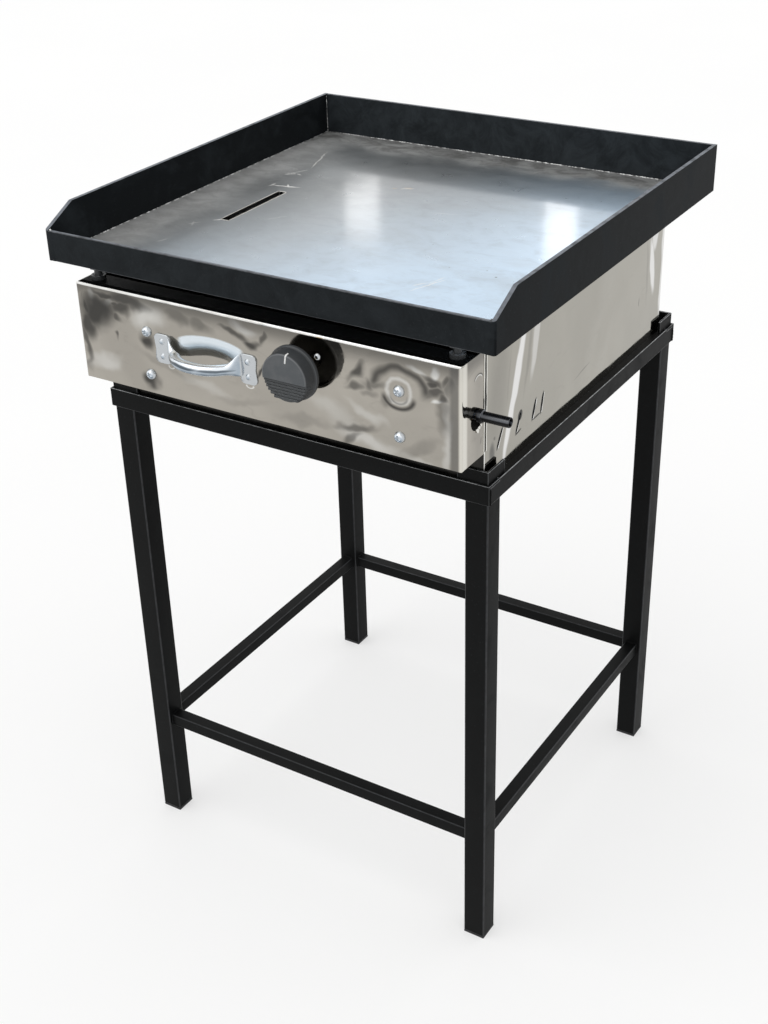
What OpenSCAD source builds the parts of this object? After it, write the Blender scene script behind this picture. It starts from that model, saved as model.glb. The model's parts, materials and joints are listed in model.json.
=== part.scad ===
// Gas griddle on a square tube stand: steel plate with raised rims, stainless housing with one knob,
// U-shaped burner and grease tray. Millimetres, +Z up, front towards -Y.
// The origin is on the floor, in the middle of the whole outline.

/* [Stand] */
// Width of the stand over its legs
stand_w = 548; // [500:1:600]
// Depth of the stand over its legs
stand_d = 533; // [520:1:600]
// Height of the top frame above the floor
frame_top = 696; // [450:1:900]
// Side of each square leg tube
leg_s = 30; // [25:1:40]
// Wall of the leg tubes
leg_wall = 2; // [1.5:0.5:3]
// Thickness of the foot of each leg end cap
cap_t = 3; // [2:0.5:6]
// How far the plug of an end cap reaches into its leg
cap_plug = 12; // [6:1:25]
// Width of each flange of the top frame angles
angle_w = 25; // [20:1:35]
// Thickness of the angles
angle_t = 3; // [2:0.5:4]
// Side of each square stretcher tube
brace_s = 18; // [12:1:22]
// Wall of the stretcher tubes
brace_wall = 1.5; // [1:0.5:2]
// Height of the top of the stretchers above the floor
brace_top = 176; // [80:1:350]
// How far the stretchers stand back from the outer faces of the legs
brace_in = 6; // [0:1:8]
// Height of the corner guides above the top frame
guide_h = 16; // [8:1:30]
// Length of each arm of a corner guide
guide_l = 40; // [20:1:60]
// Thickness of the corner guides
guide_t = 3; // [2:0.5:4]

/* [Housing] */
// Thickness of the stainless sheet
sheet = 1.2; // [0.8:0.1:2]
// Height of the housing above the top frame
house_h = 163; // [150:1:190]
// Depth of the housing behind the front box
house_d = 500; // [480:1:510]
// Gap between the housing and the guides at its sides
house_side_gap = 4; // [1:0.5:8]
// Gap between the housing and the guides in front of it
house_front_gap = 0.5; // [0.3:0.1:2]
// Width of the flange along the foot of each housing panel
foot_flange = 20; // [12:1:30]
// Depth of the front box
box_d = 52; // [50:1:70]
// Height of the front box
box_h = 125; // [110:1:130]
// Outer radius of the upright bends of the front box
bend_r = 5; // [3:0.5:8]
// Gap of the seam between the front box and the housing
seam = 1; // [0.5:0.1:2]
// Height of the folded edge along the top of the front box
hem_h = 10; // [6:1:14]
// Depth of the flange along the foot of the front box
box_flange = 15; // [8:1:20]
// Height of the side vent slots
vent_h = 23; // [12:1:30]
// Width of the side vent slots
vent_w = 4; // [2:0.2:5]
// Height of the vent slots above the top frame
vent_z = 29; // [28:1:60]

/* [Griddle] */
// Width of the griddle over its rims
plate_w = 614; // [560:1:680]
// Depth of the griddle over its rims
plate_d = 616; // [590:1:680]
// Thickness of the cooking plate
plate_t = 6; // [4:0.5:10]
// Thickness of the rims
rim_t = 5; // [3:0.5:8]
// Rounding of the front corners of the rims
rim_round = 3.5; // [1:0.5:4.5]
// Height of the front rim
rim_front_h = 38; // [20:1:50]
// Height of the side and rear rims
rim_h = 62; // [52:1:100]
// Length of the sloped front end of the side rims
rim_slope = 48; // [20:1:90]
// How far the front rim stands forward of the front box
rim_over = 1; // [0:1:20]
// Free height between the housing and the plate
plate_gap = 21; // [18:1:35]
// Length of the grease slot
slot_l = 130; // [80:1:180]
// Width of the grease slot
slot_w = 13; // [8:1:18]
// Distance from the left edge of the griddle to the middle of the slot
slot_from_left = 113.5; // [105:0.5:125]
// Distance from the front edge of the griddle to the middle of the slot
slot_from_front = 272; // [240:1:330]
// Diameter of the griddle foot bolts
foot_bolt_d = 10; // [8:1:12]
// Diameter of the heads that the griddle stands on
foot_head_d = 18; // [14:1:20]
// Thickness of those heads
foot_head_t = 5; // [3:0.5:7]
// Distance from the side of the housing to the middle of a foot
foot_in = 17; // [13:1:40]

/* [Knob and valve] */
// Diameter of the knob
knob_d = 66; // [50:1:70]
// Depth of the knob
knob_l = 22; // [16:1:26]
// Gap between the knob and the front box
knob_gap = 17; // [10:1:22]
// Wall of the knob
knob_wall = 3; // [2:0.5:4]
// Depth of the step in front of the knob ribs
knob_step = 4; // [2:0.5:5]
// Number of ribs on the lower part of the knob
knob_ribs = 6; // [4:1:7]
// Distance of the knob axis below the top of the front box
knob_drop = 42; // [40:1:48]
// Diameter of the valve stem
stem_d = 8; // [6:1:10]
// Travel of the knob when it is pushed
push_travel = 3; // [2:0.5:4]
// Diameter of the valve body
valve_d = 26; // [24:1:30]

/* [Gas and burner] */
// Diameter of the manifold pipe and of the gas inlet
pipe_d = 12; // [10:1:14]
// Wall of the manifold pipe
pipe_wall = 1.5; // [1:0.5:2]
// Distance of the pipe below the knob axis
pipe_drop = 29; // [27:1:32]
// Distance of the pipe behind the face of the front box
pipe_back = 37; // [36:1:40]
// How far the gas inlet stands out of the front box
inlet_out = 40; // [20:1:60]
// Diameter of the hole that the gas inlet passes through
inlet_hole_d = 26; // [26:1:30]
// Diameter of the burner tube
burner_d = 38; // [32:1:44]
// Wall of the burner tube
burner_wall = 1.5; // [1:0.5:2]
// Distance of each burner leg from the middle
burner_x = 64; // [55:1:80]
// Free length between the burner bend and the rear panel
burner_rear_gap = 90; // [60:1:140]
// Free length between the front wall and the closed end of the burner
burner_end_gap = 80; // [50:1:120]
// Number of flame ports in each row
port_count = 12; // [8:1:16]
// Diameter of the flame ports
port_d = 3; // [2:0.5:4]

/* [Grease tray] */
// Width of the grease tray
tray_w = 60; // [40:1:70]
// Height of the grease tray
tray_h = 35; // [25:1:45]
// Height of the tray above the top frame
tray_z = 70; // [50:1:80]
// How far the tray reaches in front of the slot
tray_lead = 20; // [10:1:40]

/* [Handle and screws] */
// Distance between the middles of the two handle plates
handle_l = 126; // [110:1:140]
// Width of each handle plate
handle_plate_w = 24; // [18:1:28]
// Height of each handle plate
handle_plate_h = 38; // [32:1:44]
// Thickness of the handle metal
handle_t = 2; // [1.5:0.5:3]
// How far the handle bow stands out of the front box
handle_out = 34; // [24:1:36]
// Height of the handle bow
bow_h = 13; // [9:1:16]
// Distance between the two rivets of a handle plate
rivet_pitch = 19; // [16:1:22]
// Diameter of the rivet heads
rivet_d = 8; // [6:0.5:9]
// Diameter of the front screw heads
screw_head_d = 13; // [10:0.5:15]
// Height of the front screw heads
screw_head_h = 4.5; // [3:0.5:6]
// Diameter of the front screws
screw_d = 5; // [4:0.5:6]
// Distance between an upper and a lower front screw
screw_pitch = 57; // [48:1:62]
// Distance of the upper front screws below the top of the front box
screw_drop = 44; // [40:1:48]
// Distance of the left front screws from the left end of the front box
screw_left_in = 104; // [95:1:106]
// Distance of the right front screws from the right end of the front box
screw_right_in = 77; // [60:1:90]
// Distance of the middle of the handle from the left end of the front box
handle_from_left = 191; // [190:1:196]
// Distance of the middle of the handle below the top of the front box
handle_drop = 62; // [58:1:66]

/* [Hidden] */
$fn = 64;

// Clearances
slip = 0.3;      // between pieces that are set in by hand
fit = 0.05;      // radial running fit
touch = 0.2;     // round a tube that is cradled or clamped

// Places from front to rear
knob_out = knob_gap + knob_l;
panel_y = -(plate_d - rim_over - knob_out) / 2;
house_y = panel_y + box_d + seam;
house_rear = house_y + house_d;
stand_y = house_y - house_front_gap - guide_t;
stand_rear = stand_y + stand_d;
plate_y = panel_y - rim_over;
plate_rear = plate_y + plate_d;

// Heights
house_top = frame_top + house_h;
box_z = house_top - box_h;
plate_z = house_top + plate_gap;
knob_z = house_top - knob_drop;
pipe_z = knob_z - pipe_drop;
tray_bottom = frame_top + tray_z;

// Widths
house_w = stand_w - 2 * (guide_t + house_side_gap);
house_x = house_w / 2;
stand_x = stand_w / 2;
plate_x = plate_w / 2;

// Knob, valve and pipe
knob_x = burner_x;
pipe_y = panel_y + pipe_back;
clamp_w = 20;
clamp_wall = 3;
valve_screw_in = 6;
valve_flange_w = 2 * valve_d;
valve_flange_h = valve_d + 3 * valve_screw_in;
valve_flange_t = 3;
valve_front = panel_y + sheet;
valve_rear = pipe_y + pipe_d / 2 + clamp_wall;
valve_screw_x = valve_flange_w / 2 - valve_screw_in;
valve_screw_z = valve_flange_h / 2 - valve_screw_in;
valve_screw_d = 4;
valve_screw_head_h = 3;
valve_screw_tip = 2;
chamber_d = stem_d + 7;
chamber_lip = 5;
collar_t = 2;
collar_y = valve_front + chamber_lip + slip;
spring_l = 15;
spring_y = collar_y + collar_t;
stem_front = panel_y - knob_out + 6;
stem_rear = spring_y + spring_l + 5;
stem_flat = 2;
hub_d = stem_d + 8;
knob_front_t = 8;
rib_lift = 1.5;
rib_margin = 2;
chord_drop = 5;
coupling_l = 14;
coupling_d = pipe_d + 6;
pipe_end = house_x - sheet - coupling_l;
pipe_end_wall = 3;
pipe_start = knob_x - clamp_w / 2 - pipe_end_wall - 1;
inlet_collar_l = 6;
inlet_collar_d = pipe_d + 4;
gas_port_d = 6;
inlet_hole_y = pipe_y - 3;
inlet_hole_z = pipe_z - 4;

// Burner
burner_z = knob_z;
burner_r = burner_d / 2;
mouth_gap = 5;
burner_mouth = valve_rear + mouth_gap;
burner_bend_y = house_rear - sheet - burner_rear_gap - burner_x - burner_r;
burner_end_y = house_y + burner_end_gap;
port_margin = 20;
port_pitch = (burner_bend_y - burner_end_y - 2 * port_margin) / (port_count - 1);
cradle_t = 3;
cradle_in = 25;
cradle_margin = 8;
cradle_drop = 4;
cradle_ys = [burner_end_y + cradle_in, burner_bend_y - cradle_in];
injector_d = 8;
injector_hex_w = 14;
injector_hex_l = 5;
injector_reach = 8;
jet_d = 1.5;
end_cap_t = 2;
end_cap_plug = 8;

// Rest bars and feet
rest_w = 25;
rest_t = 3;
rest_front_y = panel_y + 10;
rest_rear_y = house_rear - sheet - rest_w;
foot_ys = [rest_front_y + rest_w / 2, rest_rear_y + rest_w / 2];
foot_xs = [-(house_x - foot_in), house_x - foot_in];
nut_t = 8;
nut_w = foot_bolt_d + 7;

// Grease slot and tray
slot_x = -plate_x + slot_from_left;
slot_y = plate_y + slot_from_front;
tray_x = slot_x;
tray_front = slot_y - slot_l / 2 - tray_lead;
tray_face_t = 2;
tray_face_over = 6;
tray_grip = 16;
tray_wall = 1.2;
runner_t = 1.5;
runner_w = 12;
tray_window = 1;

// Front screws, brackets and handle
screw_xs = [-house_x + screw_left_in, house_x - screw_right_in];
screw_zs = [house_top - screw_drop, house_top - screw_drop - screw_pitch];
bracket_w = 24;
bracket_t = 1.5;
bracket_margin = 14;
screw_nut_t = 4;
screw_nut_w = screw_d + 3;
screw_tip = 3;
handle_x = -house_x + handle_from_left;
handle_z = house_top - handle_drop;
rivet_zs = [handle_z - rivet_pitch / 2, handle_z + rivet_pitch / 2];
bow_t = 4;
handle_plate_r = 6;
rivet_hole_d = 4;
rivet_head_h = 2;
rivet_tail_h = 1.5;

// Side vent slots from front to rear: place behind the face of the front box, and lean to the rear
vent_offsets = [90, 136, 176, 197];
vent_leans = [30, 28, 21, 14];

steel_black = [0.13, 0.14, 0.15];
stainless = [0.72, 0.70, 0.66];
zinc = [0.74, 0.78, 0.84];
plate_grey = [0.62, 0.66, 0.70];
knob_grey = [0.25, 0.26, 0.28];
brass = [0.80, 0.66, 0.35];

// A block between two corners
module slab(x0, x1, y0, y1, z0, z1) {
    translate([x0, y0, z0])
        cube([x1 - x0, y1 - y0, z1 - z0]);
}

// A round bar along Y from y0 to y1
module bar_y(x, z, y0, y1, d) {
    translate([x, y0, z])
        rotate([-90, 0, 0])
            cylinder(d = d, h = y1 - y0);
}

// A round bar along X from x0 to x1
module bar_x(y, z, x0, x1, d) {
    translate([x0, y, z])
        rotate([0, 90, 0])
            cylinder(d = d, h = x1 - x0);
}

// A square tube standing on the XY plane
module square_tube(side, wall, length) {
    difference() {
        cube([side, side, length]);
        translate([wall, wall, -1])
            cube([side - 2 * wall, side - 2 * wall, length + 2]);
    }
}

// A flat six-sided nut with a bore, along Z
module hex_nut(across, bore, height) {
    difference() {
        cylinder(d = across / cos(30), h = height, $fn = 6);
        translate([0, 0, -1])
            cylinder(d = bore, h = height + 2);
    }
}

// A shallow dome of the given diameter, standing on the XY plane
module dome(d, h) {
    r = (d * d / 4 + h * h) / (2 * h);
    intersection() {
        translate([0, 0, h - r])
            sphere(r = r);
        cylinder(d = d, h = h);
    }
}

// Stand

module leg(x, y) {
    color(steel_black)
        translate([x, y, cap_t])
            square_tube(leg_s, leg_wall, frame_top - angle_t - cap_t);
}

module leg_front_left() { leg(-stand_x, stand_y); }
module leg_front_right() { leg(stand_x - leg_s, stand_y); }
module leg_rear_left() { leg(-stand_x, stand_rear - leg_s); }
module leg_rear_right() { leg(stand_x - leg_s, stand_rear - leg_s); }

module leg_end_caps() {
    plug = leg_s - 2 * leg_wall - 2 * touch;
    color(steel_black)
        for (x = [-stand_x, stand_x - leg_s], y = [stand_y, stand_rear - leg_s])
            translate([x, y, 0]) {
                cube([leg_s, leg_s, cap_t]);
                translate([leg_wall + touch, leg_wall + touch, 0])
                    cube([plug, plug, cap_t + cap_plug]);
            }
}

// Front or rear bar of the top frame, over the full width
module frame_bar_across(y_wall, y_flange) {
    x = stand_x + angle_t;
    color(steel_black) {
        slab(-x, x, y_wall, y_wall + angle_t, frame_top - angle_w, frame_top);
        slab(-x, x, y_flange, y_flange + angle_w, frame_top - angle_t, frame_top);
    }
}

module frame_bar_front() { frame_bar_across(stand_y - angle_t, stand_y - angle_t); }
module frame_bar_rear() { frame_bar_across(stand_rear, stand_rear + angle_t - angle_w); }

// Side bar of the top frame, cut to fit between the front and rear bars
module frame_bar_side() {
    x = stand_x + angle_t;
    inset = angle_w - angle_t;
    color(steel_black) {
        slab(stand_x, x, stand_y, stand_rear, frame_top - angle_w, frame_top - angle_t);
        slab(x - angle_w, x, stand_y + inset, stand_rear - inset, frame_top - angle_t, frame_top);
    }
}

module frame_bar_right() { frame_bar_side(); }
module frame_bar_left() { mirror([1, 0, 0]) frame_bar_side(); }

module stretcher_across(y) {
    color(steel_black)
        translate([-stand_x + leg_s, y, brace_top])
            rotate([0, 90, 0])
                square_tube(brace_s, brace_wall, stand_w - 2 * leg_s);
}

module stretcher_front() { stretcher_across(stand_y + brace_in); }
module stretcher_rear() { stretcher_across(stand_rear - brace_in - brace_s); }

module stretcher_along(x) {
    color(steel_black)
        translate([x, stand_y + leg_s, brace_top])
            rotate([-90, 0, 0])
                square_tube(brace_s, brace_wall, stand_d - 2 * leg_s);
}

module stretcher_left() { stretcher_along(-stand_x + brace_in); }
module stretcher_right() { stretcher_along(stand_x - brace_in - brace_s); }

// Upright angle whose outer corner is at the front right of the stand
module guide_shape() {
    color(steel_black)
        translate([stand_x, stand_y, frame_top]) {
            translate([-guide_l, 0, 0])
                cube([guide_l, guide_t, guide_h]);
            translate([-guide_t, 0, 0])
                cube([guide_t, guide_l, guide_h]);
        }
}

module guide_rear_shape() {
    translate([0, stand_y + stand_rear, 0])
        mirror([0, 1, 0])
            guide_shape();
}

module guide_front_right() { guide_shape(); }
module guide_front_left() { mirror([1, 0, 0]) guide_shape(); }
module guide_rear_right() { guide_rear_shape(); }
module guide_rear_left() { mirror([1, 0, 0]) guide_rear_shape(); }

// Housing

// Right side panel with its foot flange
module side_panel() {
    slab(house_x - sheet, house_x, house_y, house_rear, frame_top, house_top);
    slab(house_x - foot_flange, house_x, house_y + sheet, house_rear - sheet,
         frame_top, frame_top + sheet);
}

module vent_slots() {
    for (i = [0 : len(vent_offsets) - 1])
        translate([house_x, panel_y + vent_offsets[i], frame_top + vent_z + vent_h / 2])
            rotate([-vent_leans[i], 0, 0])
                slab(-sheet - 1, 1, -vent_w / 2, vent_w / 2, -vent_h / 2, vent_h / 2);
}

module housing_side_right() {
    color(stainless)
        difference() {
            side_panel();
            vent_slots();
        }
}

module housing_side_left() {
    color(stainless)
        mirror([1, 0, 0])
            side_panel();
}

// Rear panel between the sides, with the window that the grease tray comes out of
module housing_rear_panel() {
    x = house_x - sheet;
    half = tray_w / 2 + tray_window;
    color(stainless)
        difference() {
            slab(-x, x, house_rear - sheet, house_rear, frame_top, house_top);
            slab(tray_x - half, tray_x + half, house_rear - sheet - 1, house_rear + 1,
                 tray_bottom - tray_window, tray_bottom + tray_h + tray_window);
        }
}

// Front wall between the sides, with the hole that the burner mouth passes through
module housing_front_wall() {
    x = house_x - sheet;
    color(stainless)
        difference() {
            slab(-x, x, house_y, house_y + sheet, frame_top, house_top);
            bar_y(knob_x, burner_z, house_y - 1, house_y + sheet + 1, burner_d + 4);
        }
}

// Floor sheet on the foot flanges, with air slots for the burner
module housing_floor() {
    x = house_x - sheet;
    air_l = 150;
    air_w = 12;
    color(stainless)
        difference() {
            slab(-x, x, house_y + sheet, house_rear - sheet,
                 frame_top + sheet, frame_top + 2 * sheet);
            for (side = [-1, 1], row = [1 : 4])
                translate([side * (air_l / 2 + 15) - air_l / 2,
                           house_y + row * house_d / 5 - air_w / 2, frame_top])
                    cube([air_l, air_w, 4 * sheet]);
        }
}

// Plan of the front box with rounded front corners, shrunk by the given amount
module box_plan(shrink) {
    r = bend_r - shrink;
    w = house_w - 2 * shrink;
    translate([0, shrink]) {
        translate([-w / 2 + r, 0])
            square([w - 2 * r, box_d]);
        translate([-w / 2, r])
            square([w, box_d - r]);
        for (side = [-1, 1])
            translate([side * (w / 2 - r), r])
                circle(r = r);
    }
}

module front_box() {
    hem_x = house_x - bend_r;
    color(stainless)
        difference() {
            union() {
                translate([0, panel_y, box_z])
                    linear_extrude(box_h)
                        difference() {
                            box_plan(0);
                            box_plan(sheet);
                        }
                slab(-hem_x, hem_x, panel_y + sheet, panel_y + 2 * sheet,
                     house_top - hem_h, house_top);
                slab(-hem_x, hem_x, panel_y + sheet, panel_y + box_flange, box_z, box_z + sheet);
            }
            bar_y(knob_x, knob_z, panel_y - 1, valve_front + 1, stem_d + 4);
            for (side = [-1, 1])
                bar_y(knob_x + side * valve_screw_x, knob_z + side * valve_screw_z,
                      panel_y - 1, valve_front + 1, valve_screw_d + 2 * fit);
            for (x = screw_xs, z = screw_zs)
                bar_y(x, z, panel_y - 1, valve_front + 1, screw_d + 2 * touch);
            for (side = [-1, 1], z = rivet_zs)
                bar_y(handle_x + side * handle_l / 2, z, panel_y - 1, valve_front + 1,
                      rivet_hole_d + 2 * fit);
            bar_x(inlet_hole_y, inlet_hole_z, house_x - sheet - 1, house_x + 1, inlet_hole_d);
        }
}

// Channel between the front box and the front wall, behind one pair of front screws
module box_bracket(x) {
    x0 = x - bracket_w / 2;
    z0 = screw_zs[1] - bracket_margin;
    z1 = screw_zs[0] + bracket_margin;
    color(stainless)
        difference() {
            union() {
                slab(x0, x0 + bracket_w, valve_front, valve_front + bracket_t, z0, z1);
                slab(x0, x0 + bracket_t, valve_front, house_y, z0, z1);
                slab(x0, x0 + bracket_w, house_y - bracket_t, house_y, z0, z1);
            }
            for (z = screw_zs)
                bar_y(x, z, valve_front - 1, valve_front + bracket_t + 1, screw_d + 2 * touch);
            bar_x(pipe_y, pipe_z, x0 - 1, x0 + bracket_t + 1, pipe_d + 2 * touch);
        }
}

module box_bracket_left() { box_bracket(screw_xs[0]); }
module box_bracket_right() { box_bracket(screw_xs[1]); }

module front_screws() {
    tip = valve_front + bracket_t + screw_nut_t + screw_tip;
    color(zinc)
        for (x = screw_xs, z = screw_zs) {
            translate([x, panel_y, z])
                rotate([90, 0, 0])
                    dome(screw_head_d, screw_head_h);
            bar_y(x, z, panel_y - 1, tip, screw_d);
        }
}

module front_screw_nuts() {
    color(zinc)
        for (x = screw_xs, z = screw_zs)
            translate([x, valve_front + bracket_t, z])
                rotate([-90, 0, 0])
                    hex_nut(screw_nut_w, screw_d + 2 * fit, screw_nut_t);
}

// Plan of the handle bow: a band along an arc between the two plates
module bow_plan() {
    half = (handle_l - handle_plate_w) / 2;
    rise = handle_out - handle_t;
    r = (half * half + rise * rise) / (2 * rise);
    intersection() {
        translate([0, -handle_out + r])
            difference() {
                circle(r = r, $fn = 96);
                circle(r = r - bow_t, $fn = 96);
            }
        translate([-handle_l, -handle_out - 1])
            square([2 * handle_l, handle_out + 1]);
    }
}

// Rounded plate in the XY plane, centred
module round_plate(w, h, r) {
    square([w - 2 * r, h], center = true);
    square([w, h - 2 * r], center = true);
    for (x = [-1, 1], y = [-1, 1])
        translate([x * (w / 2 - r), y * (h / 2 - r)])
            circle(r = r);
}

module handle() {
    color(zinc)
        translate([handle_x, panel_y, handle_z])
            difference() {
                union() {
                    for (side = [-1, 1])
                        translate([side * handle_l / 2, 0, 0])
                            rotate([90, 0, 0])
                                linear_extrude(handle_t)
                                    round_plate(handle_plate_w, handle_plate_h, handle_plate_r);
                    translate([0, 0, -bow_h / 2])
                        linear_extrude(bow_h)
                            bow_plan();
                }
                for (side = [-1, 1], z = [-1, 1])
                    bar_y(side * handle_l / 2, z * rivet_pitch / 2, -handle_t - 1, 1,
                          rivet_hole_d + 2 * fit);
            }
}

module handle_rivets() {
    color(zinc)
        for (side = [-1, 1], z = rivet_zs)
            translate([handle_x + side * handle_l / 2, panel_y, z]) {
                translate([0, -handle_t, 0])
                    rotate([90, 0, 0])
                        dome(rivet_d, rivet_head_h);
                bar_y(0, 0, -handle_t - 1, sheet + 1, rivet_hole_d);
                translate([0, sheet, 0])
                    rotate([-90, 0, 0])
                        cylinder(d = rivet_d - 2, h = rivet_tail_h);
            }
}

// Angle bar that carries two griddle feet; the upright flange is at y_wall
module rest_bar(y, y_wall) {
    x = house_x - sheet;
    color(steel_black) {
        slab(-x, x, y, y + rest_w, house_top - rest_t, house_top);
        slab(-x, x, y_wall, y_wall + rest_t, house_top - rest_w, house_top);
    }
}

module griddle_rest_front() {
    rest_bar(rest_front_y, rest_front_y + rest_w - rest_t);
}

module griddle_rest_rear() {
    rest_bar(rest_rear_y, rest_rear_y + rest_w - rest_t);
}

// Gas and burner

module gas_manifold() {
    bore = pipe_d - 2 * pipe_wall;
    color(stainless)
        difference() {
            bar_x(pipe_y, pipe_z, pipe_start, pipe_end, pipe_d);
            bar_x(pipe_y, pipe_z, pipe_start + pipe_end_wall, pipe_end + 1, bore);
            translate([knob_x, pipe_y, pipe_z])
                cylinder(d = gas_port_d, h = pipe_d);
        }
}

module inlet_coupling() {
    color(brass)
        translate([pipe_end - coupling_l / 2, pipe_y, pipe_z])
            rotate([0, 90, 0])
                hex_nut(coupling_d, pipe_d + 2 * fit, coupling_l);
}

module gas_inlet() {
    bore = pipe_d - 2 * pipe_wall;
    color(knob_grey)
        difference() {
            union() {
                bar_x(pipe_y, pipe_z, pipe_end, house_x + inlet_out, pipe_d);
                bar_x(pipe_y, pipe_z, house_x + 1, house_x + 1 + inlet_collar_l, inlet_collar_d);
            }
            bar_x(pipe_y, pipe_z, pipe_end - 1, house_x + inlet_out + 1, bore);
        }
}

module valve_body() {
    x0 = knob_x - valve_flange_w / 2;
    z0 = knob_z - valve_flange_h / 2;
    color(brass)
        difference() {
            union() {
                slab(x0, x0 + valve_flange_w, valve_front, valve_front + valve_flange_t,
                     z0, z0 + valve_flange_h);
                bar_y(knob_x, knob_z, valve_front, valve_rear, valve_d);
                slab(knob_x - clamp_w / 2, knob_x + clamp_w / 2,
                     pipe_y - pipe_d / 2 - clamp_wall, valve_rear,
                     pipe_z - pipe_d / 2 - clamp_wall, knob_z);
            }
            bar_y(knob_x, knob_z, valve_front - 1, stem_rear + push_travel + 1, stem_d + 2 * fit);
            bar_y(knob_x, knob_z, valve_front + chamber_lip, spring_y + spring_l, chamber_d);
            bar_x(pipe_y, pipe_z, knob_x - clamp_w, knob_x + clamp_w, pipe_d + 2 * fit);
            for (side = [-1, 1])
                bar_y(knob_x + side * valve_screw_x, knob_z + side * valve_screw_z,
                      valve_front - 1, valve_front + valve_flange_t + 1, valve_screw_d + 2 * fit);
        }
}

module valve_screws() {
    color(zinc)
        for (side = [-1, 1])
            translate([knob_x + side * valve_screw_x, panel_y, knob_z + side * valve_screw_z]) {
                rotate([90, 0, 0])
                    dome(2 * valve_screw_d, valve_screw_head_h);
                bar_y(0, 0, -1, sheet + valve_flange_t + valve_screw_tip, valve_screw_d);
            }
}

// Plain sleeve in the place of the sealed spring
module stem_spring() {
    color(zinc)
        difference() {
            bar_y(knob_x, knob_z, spring_y, spring_y + spring_l, chamber_d - 2);
            bar_y(knob_x, knob_z, spring_y - 1, spring_y + spring_l + 1, stem_d + 2);
        }
}

module stem_collar() {
    color(brass)
        difference() {
            bar_y(knob_x, knob_z, collar_y, collar_y + collar_t, chamber_d - 2 * slip);
            bar_y(knob_x, knob_z, collar_y - 1, collar_y + collar_t + 1, stem_d + 2 * fit);
        }
}

module valve_stem() {
    color(brass)
        difference() {
            bar_y(knob_x, knob_z, stem_front, stem_rear, stem_d);
            slab(knob_x - stem_d, knob_x + stem_d, stem_front - 1, panel_y - knob_gap,
                 knob_z + stem_d / 2 - stem_flat, knob_z + stem_d);
        }
}

// Knob with a raised upper half and a ribbed lower part
module knob() {
    y0 = panel_y - knob_out;
    y1 = panel_y - knob_gap;
    chord = knob_z - chord_drop;
    rib_pitch = (knob_d / 2 - chord_drop - rib_margin) / knob_ribs;
    color(knob_grey)
        difference() {
            union() {
                difference() {
                    bar_y(knob_x, knob_z, y0, y1, knob_d);
                    slab(knob_x - knob_d, knob_x + knob_d, y0 - 1, y0 + knob_step,
                         knob_z - knob_d, chord);
                    difference() {
                        bar_y(knob_x, knob_z, y0 + knob_front_t, y1 + 1, knob_d - 2 * knob_wall);
                        bar_y(knob_x, knob_z, y0, y1 + 2, hub_d);
                    }
                }
                intersection() {
                    bar_y(knob_x, knob_z, y0 + rib_lift, y0 + knob_step + 1, knob_d);
                    for (i = [0 : knob_ribs - 1])
                        slab(knob_x - knob_d, knob_x + knob_d, y0, y0 + knob_step + 1,
                             chord - rib_margin - (i + 0.5) * rib_pitch,
                             chord - rib_margin - i * rib_pitch);
                }
            }
            difference() {
                bar_y(knob_x, knob_z, stem_front, y1 + 1, stem_d + 2 * fit);
                slab(knob_x - stem_d, knob_x + stem_d, y0, y1 + 2,
                     knob_z + stem_d / 2 - stem_flat + fit, knob_z + stem_d);
            }
        }
}

module injector() {
    color(brass)
        difference() {
            union() {
                translate([knob_x, valve_rear, knob_z])
                    rotate([-90, 0, 0])
                        cylinder(d = injector_hex_w / cos(30), h = injector_hex_l, $fn = 6);
                bar_y(knob_x, knob_z, valve_rear, burner_mouth + injector_reach, injector_d);
            }
            bar_y(knob_x, knob_z, valve_rear - 1, burner_mouth + injector_reach + 1, jet_d);
        }
}

// Ring profile of the burner tube, at the radius of its bend
module burner_ring(x) {
    translate([x, 0])
        difference() {
            circle(d = burner_d);
            circle(d = burner_d - 2 * burner_wall);
        }
}

module burner_tube() {
    color(stainless)
        difference() {
            union() {
                translate([burner_x, burner_mouth, burner_z])
                    rotate([-90, 0, 0])
                        linear_extrude(burner_bend_y - burner_mouth)
                            burner_ring(0);
                translate([-burner_x, burner_end_y, burner_z])
                    rotate([-90, 0, 0])
                        linear_extrude(burner_bend_y - burner_end_y)
                            burner_ring(0);
                translate([0, burner_bend_y, burner_z])
                    rotate_extrude(angle = 180)
                        burner_ring(burner_x);
            }
            for (leg = [-1, 1], i = [0 : port_count - 1])
                translate([leg * burner_x, burner_end_y + port_margin + i * port_pitch, burner_z])
                    rotate([0, leg * 45, 0])
                        cylinder(d = port_d, h = burner_d);
        }
}

module burner_end_cap() {
    color(stainless) {
        bar_y(-burner_x, burner_z, burner_end_y - end_cap_t, burner_end_y, burner_d);
        bar_y(-burner_x, burner_z, burner_end_y - 1, burner_end_y + end_cap_plug,
              burner_d - 2 * burner_wall - 2 * touch);
    }
}

// Two upright strips with round notches that carry the burner legs
module burner_cradles() {
    x = burner_x + burner_r + cradle_margin;
    color(stainless)
        for (y = cradle_ys)
            difference() {
                slab(-x, x, y, y + cradle_t, frame_top + 2 * sheet, burner_z - cradle_drop);
                for (side = [-1, 1])
                    bar_y(side * burner_x, burner_z, y - 1, y + cradle_t + 1,
                          burner_d + 2 * touch);
            }
}

// Grease tray

module tray_runner() {
    x0 = tray_x + tray_w / 2;
    y0 = house_y + sheet;
    y1 = house_rear - sheet;
    slab(x0 - runner_w + slip, x0 + slip + runner_t, y0, y1, tray_bottom - runner_t, tray_bottom);
    slab(x0 + slip, x0 + slip + runner_t, y0, y1, tray_bottom, tray_bottom + runner_w);
}

module tray_runners() {
    color(stainless) {
        tray_runner();
        translate([2 * tray_x, 0, 0])
            mirror([1, 0, 0])
                tray_runner();
    }
}

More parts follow.
